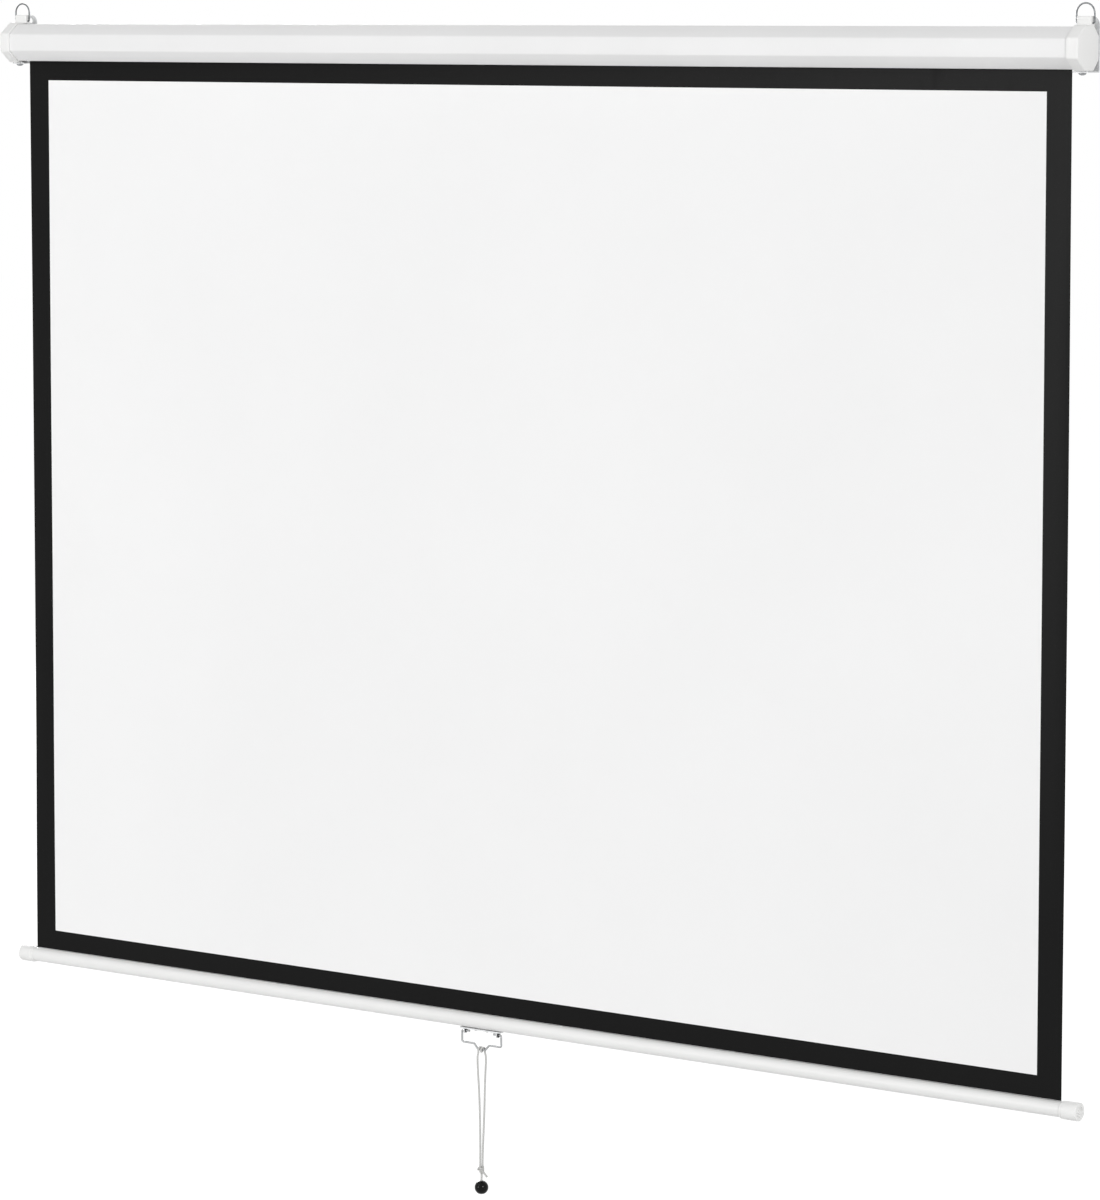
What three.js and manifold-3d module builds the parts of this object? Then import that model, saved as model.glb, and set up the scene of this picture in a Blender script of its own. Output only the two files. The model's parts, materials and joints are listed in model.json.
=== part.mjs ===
// A pull down projector screen, pulled all the way down: an octagonal casing with end caps, a spring
// roller with its ratchet, the bordered sheet, the weight bar, and the wire handle with its cord and ball.
// Millimetres. X runs along the screen, the picture faces -Y, Z is up. The origin is the middle of the
// casing's flat back.
import * as THREE from 'three';
import { mergeVertices } from 'three/addons/utils/BufferGeometryUtils.js';
import Module from 'manifold-3d';

const wasm = await Module();
wasm.setup();

// Clearances
const gap = 0.3; // between two pieces that touch
const overrun = 2; // how far a cut runs past what it cuts

// Driving dimensions
const view = { width: 2032, height: 1524 }; // the white picture, 100 inches across its corners
const border = { side: 44, top: 34, bottom: 35, ink: 0.2, hidden: 12 };
const sheet = { thickness: 0.5, toBack: 21 }; // toBack: from the casing's back to the sheet's middle
const casing = {
  depth: 60, height: 65, frontFlat: 29, backFlat: 34, frontBevel: 22, backBevel: 14, wall: 1.2,
  slot: 13, pastSheet: 29.7,
};
const cap = { sleeve: 17, wall: 2.2, endWall: 3, rounding: 3, roundingSteps: 3 };
const boss = { radius: 4.5, fromBack: 30, fromTop: 9.5 };
const hook = { width: 25.4, depth: 12, height: 13.4, rounding: 2, inFromEnd: 13, fromBack: 17, play: 0.4 };
const ring = { wire: 1.3, halfWidth: 15.7, height: 30.6, corner: 3, lift: 2.6 };
const plate = { width: 28, thickness: 2, rise: 13.5, hole: 4.5, holeDrop: 10, footReach: 32 };
const capScrew = { head: 6, headHeight: 4, shank: 2, length: 9.3, fromBack: 25 };
const bracket = { inset: 2.5, thickness: 2, fromEnd: 16 };
const bracketScrew = { head: 3.5, headHeight: 2.4, shank: 1.75, length: 12 };

const roller = { radius: 14, wall: 1.3, wrap: 0.7, endRoom: 2.3 };
const plug = { length: 26, flange: 2 };
const pin = { radius: 4, inPlug: 18 };
const bush = { wall: 2.2, flange: 9, flangeThickness: 1.5, sleeve: 5 };
const shaft = { radius: 3.5, length: 387, tangThickness: 2.6, tangWidth: 6.4, tangLength: 9 };
const anchor = { radius: 9, length: 10 };
const spring = { wire: 0.8, radius: 7.5, turns: 24, stepsPerTurn: 8, sides: 5 };
const ratchet = { hub: 7.4, thickness: 3, pivot: 10.9, pin: 1.2, pinHead: 2, pinHeadHeight: 0.8, pinSeat: 4 };
const pawl = { reach: 8, back: 2.4, heel: 2.2, nose: 7.2, tipRadius: 8, dip: 15, dipSteps: 3 };

const bar = { radius: 12.5, wall: 1.5, slot: 2, pastSheet: 28.8, reveal: 0.7 };
const keder = { bead: 3, tongue: 1, shortOfEdge: 2 };
const barCap = {
  radius: 14.5, reach: 31.4, body: 27, groove: 1.2, grooveDepth: 1, collar: 13.9, collarLength: 2.2,
  mouth: 13.4, endWall: 3, rounding: 1.6, faceRim: 8.5, faceSink: 1.2, button: 3.6, buttonSink: 0.5,
};

const handleSide = -60.5; // the handle hangs left of the middle
const strip = { length: 84, width: 14, thickness: 2 };
const ear = { fromEnd: 7, thickness: 2, width: 10, drop: 4.3 };
const nylon = { wall: 0.9, flange: 4, flangeThickness: 1 };
const stripScrew = { spread: 12, head: 3.5, headHeight: 2.2, shank: 1.5, length: 7 };
const bail = {
  wire: 1.8, pastEar: 6, tail: 16, leg: 20, shoulder: 16, throat: 7.6, drop: 29,
  corner: 3, shoulderBend: 4, throatBend: 2.4, sides: 10, bendSteps: 4,
};

const cord = { radius: 1.7, sides: 8, turns: 1.5, wrapSides: 6, wrapSteps: 36, wrapHalf: 4.2, leadIn: 2.6 };
// Where the two strands run below the winding, from the middle of the handle's throat
const strandPlaces = {
  left: [
    [-4.3, -3.8, -5.8], [-5.5, -3.8, -11], [-5.9, -3.7, -19], [-5.7, -3.5, -28], [-4.6, -3.2, -48],
    [-3.4, -2.8, -69], [-2.4, -2.3, -101], [-1.9, -1.8, -134], [-2, -1.3, -168], [-2.3, -0.95, -190],
    [-2.3, -0.9, -194.5], [-2.3, -0.9, -197.5],
  ],
  right: [
    [4.4, 3.8, -5.8], [5.8, 3.8, -11], [6.2, 3.7, -19], [6, 3.5, -28], [5, 3.2, -49],
    [4.5, 2.8, -69], [4, 2.3, -101], [3, 1.8, -134], [1.6, 1.3, -168], [1.2, 0.95, -190],
    [1.2, 0.9, -194.5], [1.2, 0.9, -197.5],
  ],
};
const knot = { radius: 5, neck: 3.9, height: 14.5, side: -0.4, tailShort: 6, tailLong: 14 };
const knotShares = { belly: 0.35, shoulder: 0.7 }; // of the knot's height
const tailShares = {
  short: { from: [-1, 0, 0], way: [-0.5, -0.25, -0.83] },
  long: { from: [0.6, 0, 1], way: [0.82, -0.22, -0.53] },
}; // from: of the knot's neck
const ball = { radius: 11.7, bore: 2.3, recess: 5, recessDepth: 6.5, below: 12 };
const stopper = { radius: 4 };

// Worked out from the driving dimensions
const sheetWidth = view.width + 2 * border.side;
const casingBottom = -casing.height / 2;
const sheetBottom = casingBottom - border.top - view.height - border.bottom;
const sheetY = -sheet.toBack;
const capGrow = gap + cap.wall;
const casingHalf = sheetWidth / 2 + casing.pastSheet;
const endX = casingHalf + gap + cap.endWall;
const capTop = casing.height / 2 + capGrow;
const wrapOuter = roller.radius + gap + roller.wrap;
const rollerY = sheetY - sheet.thickness / 2 - border.ink - gap - wrapOuter;
const barZ = sheetBottom - bar.reveal - bar.radius;
const earX = strip.length / 2 - ear.fromEnd;
const bailX = earX + bail.pastEar;
const bracketInner = endX - bracket.fromEnd - bracket.thickness;
const bossSpread = casing.height / 2 - boss.fromTop;
const ratchetEnd = bracketInner - roller.endRoom - ratchet.pinHeadHeight - gap;
const ratchetStart = ratchetEnd - ratchet.thickness;
const flangeOuter = ratchetStart - gap;
const tubeEnd = flangeOuter - plug.flange - gap;
const round = { low: 8, coarse: 12, medium: 20, fine: 32 };
const domeShares = [0.5, 0.8, 1]; // of a screw head's radius
const domeAngle = 0.44 * Math.PI;

const paint = (color, roughness, metalness = 0) =>
  new THREE.MeshStandardMaterial({ color, roughness, metalness });
const finish = {
  casingWhite: paint('#e9e9e8', 0.45),
  plasticWhite: paint('#efefed', 0.5),
  barWhite: paint('#ececea', 0.4),
  zinc: paint('#b9bcbe', 0.35, 0.9),
  chrome: paint('#d5d7d9', 0.12, 1),
  steel: paint('#9da0a3', 0.35, 1),
  springSteel: paint('#6f7276', 0.4, 1),
  aluminium: paint('#c4c6c8', 0.35, 0.9),
  nylonBlack: paint('#1c1c1c', 0.5),
  screenWhite: paint('#f5f5f4', 0.9),
  screenBlack: paint('#232323', 0.85),
  cordGrey: paint('#d8d8d5', 0.8),
  ballBlack: paint('#0b0b0b', 0.12),
};

// A route that keeps its own points, so that bends can be stepped finely and straights left alone
class Route extends THREE.Curve {
  constructor(points) {
    super();
    this.points = points;
  }
  getPoint(t, target = new THREE.Vector3()) {
    const last = this.points.length - 1;
    const index = Math.min(Math.floor(t * last), last - 1);
    return target.lerpVectors(this.points[index], this.points[index + 1], t * last - index);
  }
  getSpacedPoints() {
    return this.points;
  }
  getTangentAt(t, target = new THREE.Vector3()) {
    const index = Math.round(t * (this.points.length - 1));
    const here = this.points[index];
    const before = this.points[index - 1] ?? here;
    const after = this.points[index + 1] ?? here;
    const arriving = here.clone().sub(before).normalize();
    const leaving = after.clone().sub(here).normalize();
    return target.addVectors(arriving, leaving).normalize();
  }
}

function polygon(radius, sides) {
  const corners = [];
  for (let i = 0; i < sides; i++) {
    const angle = (i / sides) * 2 * Math.PI;
    corners.push(new THREE.Vector2(radius * Math.cos(angle), radius * Math.sin(angle)));
  }
  return new THREE.Shape(corners);
}

function tube(points, radius, sides) {
  return new THREE.ExtrudeGeometry(polygon(radius, sides), {
    steps: points.length - 1, bevelEnabled: false, extrudePath: new Route(points),
  });
}

// A line of corners, each inner corner turned in an arc of its own radius
function bend(corners, radii, steps) {
  const points = [corners[0]];
  for (let i = 1; i < corners.length - 1; i++) {
    const back = corners[i - 1].clone().sub(corners[i]).normalize();
    const on = corners[i + 1].clone().sub(corners[i]).normalize();
    const half = back.angleTo(on) / 2;
    const centre = back.clone().add(on).normalize().multiplyScalar(radii[i - 1] / Math.sin(half));
    const from = back.clone().multiplyScalar(radii[i - 1] / Math.tan(half)).sub(centre);
    const to = on.clone().multiplyScalar(radii[i - 1] / Math.tan(half)).sub(centre);
    const sweep = from.angleTo(to);
    for (let k = 0; k <= steps; k++) {
      const share = k / steps;
      const arm = from.clone().multiplyScalar(Math.sin((1 - share) * sweep) / Math.sin(sweep))
        .addScaledVector(to, Math.sin(share * sweep) / Math.sin(sweep));
      points.push(arm.add(centre).add(corners[i]));
    }
  }
  points.push(corners[corners.length - 1]);
  return points;
}

// Prints the least clear space between a winding's own turns; points closer along it than apart don't count
function reportGap(name, points, radius, apart) {
  let least = Infinity;
  points.forEach((point, i) => {
    for (const other of points.slice(i + Math.round(apart))) least = Math.min(least, point.distanceTo(other));
  });
  console.log(`${name}: least gap between turns ${(least - 2 * radius).toFixed(2)} mm`);
}

// Local x and y of the outline become Y and Z, and it runs along X
function extrudeX(shape, from, to, segments = round.medium) {
  const geometry = new THREE.ExtrudeGeometry(shape, {
    depth: Math.abs(to - from), bevelEnabled: false, curveSegments: segments,
  });
  const turn = new THREE.Matrix4().set(0, 0, 1, Math.min(from, to), 1, 0, 0, 0, 0, 1, 0, 0, 0, 0, 0, 1);
  return geometry.applyMatrix4(turn);
}

// Local x and y of the outline become X and Z, and it runs back along Y
function extrudeY(shape, from, to, segments = round.medium) {
  const geometry = new THREE.ExtrudeGeometry(shape, {
    depth: Math.abs(to - from), bevelEnabled: false, curveSegments: segments,
  });
  const turn = new THREE.Matrix4().set(1, 0, 0, 0, 0, 0, -1, Math.max(from, to), 0, 1, 0, 0, 0, 0, 0, 1);
  return geometry.applyMatrix4(turn);
}

// A profile of [x, radius] turned about the X axis
function turnX(profile, segments = round.medium) {
  const points = profile.map(([x, radius]) => new THREE.Vector2(radius, x));
  return new THREE.LatheGeometry(points, segments).rotateZ(-Math.PI / 2);
}

// A profile of [radius, z] turned about the Z axis
function turnZ(profile, segments = round.medium) {
  const points = profile.map(([radius, z]) => new THREE.Vector2(radius, z));
  return new THREE.LatheGeometry(points, segments).rotateX(Math.PI / 2);
}

function rodX(radius, from, to, y = 0, z = 0, segments = round.coarse) {
  const geometry = new THREE.CylinderGeometry(radius, radius, Math.abs(to - from), segments);
  return geometry.rotateZ(Math.PI / 2).translate((from + to) / 2, y, z);
}

function rodY(radius, from, to, x, z, segments = round.coarse) {
  const geometry = new THREE.CylinderGeometry(radius, radius, Math.abs(to - from), segments);
  return geometry.translate(x, 0, 0).translate(0, (from + to) / 2, z);
}

function rodZ(radius, from, to, x, y, segments = round.coarse) {
  const geometry = new THREE.CylinderGeometry(radius, radius, Math.abs(to - from), segments);
  return geometry.rotateX(Math.PI / 2).translate(x, y, (from + to) / 2);
}

function box(x, y, z) {
  const geometry = new THREE.BoxGeometry(x[1] - x[0], y[1] - y[0], z[1] - z[0]);
  return geometry.translate((x[0] + x[1]) / 2, (y[0] + y[1]) / 2, (z[0] + z[1]) / 2);
}

// Joins the shared corners and turns every face outwards
function closed(geometry) {
  geometry.deleteAttribute('normal');
  geometry.deleteAttribute('uv');
  const merged = mergeVertices(geometry);
  const at = merged.attributes.position;
  const index = Array.from(merged.index.array);
  const corners = [new THREE.Vector3(), new THREE.Vector3(), new THREE.Vector3()];
  const kept = [];
  let volume = 0;
  for (let i = 0; i < index.length; i += 3) {
    const [a, b, c] = index.slice(i, i + 3);
    if (a === b || b === c || c === a) continue;
    [a, b, c].forEach((n, k) => corners[k].fromBufferAttribute(at, n));
    volume += corners[0].dot(corners[1].clone().cross(corners[2]));
    kept.push(a, b, c);
  }
  if (volume < 0) kept.reverse();
  merged.setIndex(kept);
  return merged;
}

function solid(geometry) {
  const merged = closed(geometry);
  return new wasm.Manifold(new wasm.Mesh({
    numProp: 3,
    vertProperties: new Float32Array(merged.attributes.position.array),
    triVerts: new Uint32Array(merged.index.array),
  }));
}

function shaped(base, { add = [], cut = [] }) {
  let body = solid(base);
  for (const geometry of add) body = body.add(solid(geometry));
  for (const geometry of cut) body = body.subtract(solid(geometry));
  const { vertProperties, triVerts } = body.getMesh();
  const geometry = new THREE.BufferGeometry();
  geometry.setAttribute('position', new THREE.BufferAttribute(new Float32Array(vertProperties), 3));
  geometry.setIndex(new THREE.BufferAttribute(new Uint32Array(triVerts), 1));
  return geometry;
}

function piece(name, geometry, material, parent) {
  const mesh = new THREE.Mesh(closed(geometry), material);
  mesh.name = name;
  parent.add(mesh);
  return mesh;
}

// The casing's eight corners as (y, z), with every side moved out by grow
function casingOutline(grow) {
  const { depth, height, frontFlat, backFlat, frontBevel, backBevel } = casing;
  const corners = [
    [frontBevel - depth, -height / 2], [-backBevel, -height / 2], [0, -backFlat / 2], [0, backFlat / 2],
    [-backBevel, height / 2], [frontBevel - depth, height / 2], [-depth, frontFlat / 2],
    [-depth, -frontFlat / 2],
  ].map(([y, z]) => new THREE.Vector2(y, z));
  return corners.map((corner, i) => {
    const before = corners[(i + corners.length - 1) % corners.length];
    const after = corners[(i + 1) % corners.length];
    const arriving = corner.clone().sub(before).normalize();
    const leaving = after.clone().sub(corner).normalize();
    const outA = new THREE.Vector2(arriving.y, -arriving.x);
    const outB = new THREE.Vector2(leaving.y, -leaving.x);
    return outA.clone().add(outB).multiplyScalar(grow / (1 + outA.dot(outB))).add(corner);
  });
}

// Rings of equal corner counts joined into one closed skin, its first and last ring filled in
function ringSolid(rings) {
  const count = rings[0].outline.length;
  const positions = [];
  const index = [];
  for (const { x, outline } of rings) {
    for (const corner of outline) positions.push(x, corner.x, corner.y);
  }
  for (let r = 0; r < rings.length - 1; r++) {
    for (let i = 0; i < count; i++) {
      const a = r * count + i;
      const b = r * count + ((i + 1) % count);
      index.push(a, a + count, b, b, a + count, b + count);
    }
  }
  const last = (rings.length - 1) * count;
  for (let i = 1; i < count - 1; i++) {
    index.push(0, i, i + 1, last, last + i + 1, last + i);
  }
  const geometry = new THREE.BufferGeometry();
  geometry.setAttribute('position', new THREE.Float32BufferAttribute(positions, 3));
  geometry.setIndex(index);
  return geometry;
}

function screwX(screw, from, side, y, z) {
  const tip = from + side * (screw.headHeight + screw.length);
  return shaped(rodX(screw.head, from, from + side * screw.headHeight, y, z), {
    add: [rodX(screw.shank, from + (side * screw.headHeight) / 2, tip, y, z)],
  });
}

// A domed head below, its shank pointing up
function screwZ(screw, seat, x, y) {
  const profile = [[0, seat - screw.headHeight]];
  for (const share of domeShares) {
    profile.push([screw.head * share, seat - screw.headHeight * Math.cos(share * domeAngle)]);
  }
  profile.push([screw.head, seat], [screw.shank, seat], [screw.shank, seat + screw.length]);
  profile.push([0, seat + screw.length]);
  return turnZ(profile, round.coarse).translate(x, y, 0);
}

const screen = new THREE.Group();
const housing = new THREE.Group();
const rollerGroup = new THREE.Group();
const barGroup = new THREE.Group();
const handleGroup = new THREE.Group();
const cordGroup = new THREE.Group();
rollerGroup.position.y = rollerY;
barGroup.position.set(0, sheetY, barZ);
const pivotZ = -bar.radius - gap - strip.thickness - ear.drop;
handleGroup.position.set(handleSide, 0, pivotZ);
cordGroup.position.z = -bail.drop;
screen.add(housing, rollerGroup, barGroup);
barGroup.add(handleGroup);
handleGroup.add(cordGroup);

// The casing: a thin octagonal section, open along its bottom where the sheet comes out
{
  const outer = casingOutline(0);
  const inner = casingOutline(-casing.wall);
  const front = sheetY - casing.slot / 2;
  const back = sheetY + casing.slot / 2;
  const section = new THREE.Shape([
    new THREE.Vector2(back, casingBottom),
    ...outer.slice(1),
    outer[0],
    new THREE.Vector2(front, casingBottom),
    new THREE.Vector2(front, casingBottom + casing.wall),
    inner[0],
    ...inner.slice(1).reverse(),
    new THREE.Vector2(back, casingBottom + casing.wall),
  ]);
  const holes = [-1, 1].map((side) => rodZ(
    capScrew.shank + gap, casingBottom - overrun, casingBottom + 2 * casing.wall,
    side * (endX - hook.inFromEnd), -capScrew.fromBack,
  ));
  piece('casing_shell', shaped(extrudeX(section, -casingHalf, casingHalf), { cut: holes }),
    finish.casingWhite, housing);
}

for (const [end, side] of [['left', -1], ['right', 1]]) {
  const wallX = casingHalf + gap;
  const sleeveX = wallX - cap.sleeve;
  const hookX = endX - hook.inFromEnd;
  const hookAxisZ = capTop + ring.lift;
  const screwHole = capScrew.shank + gap;
  const bossEnd = bracketInner + bracket.thickness + gap;

  // The end cap: a sleeve over the casing's end, closed by a rounded wall
  const rings = [
    { x: wallX, outline: casingOutline(gap) },
    { x: sleeveX, outline: casingOutline(gap) },
    { x: sleeveX, outline: casingOutline(capGrow) },
  ];
  for (let k = 0; k <= cap.roundingSteps; k++) {
    const angle = (k / cap.roundingSteps) * (Math.PI / 2);
    rings.push({
      x: endX - cap.rounding * (1 - Math.sin(angle)),
      outline: casingOutline(capGrow - cap.rounding * (1 - Math.cos(angle))),
    });
  }
  const sided = rings.map(({ x, outline }) => ({ x: side * x, outline }));
  const hookOutline = new THREE.Shape();
  const hookTop = capTop + hook.height;
  const hookFront = -hook.fromBack - hook.depth / 2;
  const hookBack = -hook.fromBack + hook.depth / 2;
  hookOutline.moveTo(hookFront, capTop - cap.wall / 2);
  hookOutline.lineTo(hookBack, capTop - cap.wall / 2);
  hookOutline.lineTo(hookBack, hookTop - hook.rounding);
  hookOutline.absarc(hookBack - hook.rounding, hookTop - hook.rounding, hook.rounding, 0, Math.PI / 2);
  hookOutline.absarc(hookFront + hook.rounding, hookTop - hook.rounding, hook.rounding, Math.PI / 2, Math.PI);
  const hookFrom = side * (hookX - hook.width / 2);
  const hookTo = side * (hookX + hook.width / 2);
  const bosses = [-1, 1].map((up) => rodX(
    boss.radius, side * bossEnd, side * (wallX + cap.endWall / 2), -boss.fromBack, up * bossSpread,
  ));
  const pilots = [-1, 1].map((up) => rodX(
    bracketScrew.shank + gap, side * (bossEnd - overrun), side * (wallX + gap),
    -boss.fromBack, up * bossSpread,
  ));
  piece(`end_cap_${end}`, shaped(ringSolid(sided), {
    add: [extrudeX(hookOutline, hookFrom, hookTo, 3), ...bosses],
    cut: [
      ...pilots,
      rodX(ring.wire + hook.play, hookFrom - side * overrun, hookTo + side * overrun, -hook.fromBack,
        hookAxisZ),
      rodZ(screwHole, -capTop - overrun, -casing.height / 2, side * hookX, -capScrew.fromBack),
    ],
  }), finish.plasticWhite, housing);

  // The wall plate: an arched steel plate behind the cap, its foot bent forward below the cap
  const plateOuter = endX;
  const plateInner = endX - plate.width;
  const plateX = (plateOuter + plateInner) / 2;
  const plateFront = capGrow + gap;
  const plateBack = plateFront + plate.thickness;
  const archZ = capTop + plate.rise - plate.width / 2;
  const footTop = -capTop - gap;
  const footBottom = footTop - plate.thickness;
  const arch = new THREE.Shape();
  arch.moveTo(-plate.width / 2, -capTop);
  arch.lineTo(plate.width / 2, -capTop);
  arch.absarc(0, archZ, plate.width / 2, 0, Math.PI);
  const hole = new THREE.Path();
  hole.absarc(0, capTop + plate.rise - plate.holeDrop, plate.hole, 0, 2 * Math.PI);
  arch.holes.push(hole);
  const footOutline = new THREE.Shape([
    new THREE.Vector2(-plate.footReach, footBottom),
    new THREE.Vector2(plateBack, footBottom),
    new THREE.Vector2(plateBack, footTop + plate.thickness),
    new THREE.Vector2(plateFront, footTop + plate.thickness),
    new THREE.Vector2(plateFront, footTop),
    new THREE.Vector2(-plate.footReach, footTop),
  ]);
  piece(`wall_plate_${end}`, shaped(
    extrudeY(arch, plateFront, plateBack, round.medium).translate(side * plateX, 0, 0), {
      add: [extrudeX(footOutline, side * plateInner, side * plateOuter)],
      cut: [rodZ(screwHole, footBottom - overrun, footTop + overrun, side * hookX, -capScrew.fromBack)],
    },
  ), finish.zinc, housing);
  piece(`cap_screw_${end}`, screwZ(capScrew, footBottom - gap, side * hookX, -capScrew.fromBack),
    finish.steel, housing);

  // The hanging ring: a D of wire whose ends meet inside the hook
  const ringGroup = new THREE.Group();
  ringGroup.position.set(side * hookX, -hook.fromBack, hookAxisZ);
  housing.add(ringGroup);
  const upright = ring.height - ring.halfWidth;
  const ringPoints = bend([
    new THREE.Vector3(gap / 2, 0, 0),
    new THREE.Vector3(ring.halfWidth, 0, 0),
    new THREE.Vector3(ring.halfWidth, 0, upright),
  ], [ring.corner], 4);
  for (let k = 1; k <= round.coarse; k++) {
    const angle = (k / round.coarse) * Math.PI;
    ringPoints.push(new THREE.Vector3(
      ring.halfWidth * Math.cos(angle), 0, upright + ring.halfWidth * Math.sin(angle),
    ));
  }
  ringPoints.push(...bend([
    new THREE.Vector3(-ring.halfWidth, 0, upright),
    new THREE.Vector3(-ring.halfWidth, 0, 0),
    new THREE.Vector3(-gap / 2, 0, 0),
  ], [ring.corner], 4).slice(1));
  piece(`hanging_ring_${end}`, tube(ringPoints, ring.wire, cord.sides), finish.chrome, ringGroup);

  // The roller bracket: a plate on the cap's two bosses, with the seat of the roller's end
  const bracketFrom = side * bracketInner;
  const bracketTo = side * (bracketInner + bracket.thickness);
  const seat = side < 0
    ? rodX(pin.radius + bush.wall + 2 * gap, bracketFrom - side * overrun, bracketTo + side * overrun,
      rollerY, 0, round.medium)
    : box([bracketInner - overrun, bracketInner + bracket.thickness + overrun],
      [rollerY - shaft.tangWidth / 2 - gap, rollerY + shaft.tangWidth / 2 + gap],
      [-shaft.tangThickness / 2 - gap, shaft.tangThickness / 2 + gap]);
  const bracketOutline = new THREE.Shape(casingOutline(-bracket.inset));
  piece(`roller_bracket_${end}`, shaped(extrudeX(bracketOutline, bracketFrom, bracketTo), {
    cut: [seat, ...[-1, 1].map((up) => rodX(
      bracketScrew.shank + gap, bracketFrom - side * overrun, bracketTo + side * overrun,
      -boss.fromBack, up * bossSpread,
    ))],
  }), finish.zinc, housing);
  for (const [row, up] of [['lower', -1], ['upper', 1]]) {
    const headX = bracketFrom - side * (gap + bracketScrew.headHeight);
    piece(`bracket_screw_${end}_${row}`,
      screwX(bracketScrew, headX, side, -boss.fromBack, up * bossSpread), finish.steel, housing);
  }
}

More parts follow.
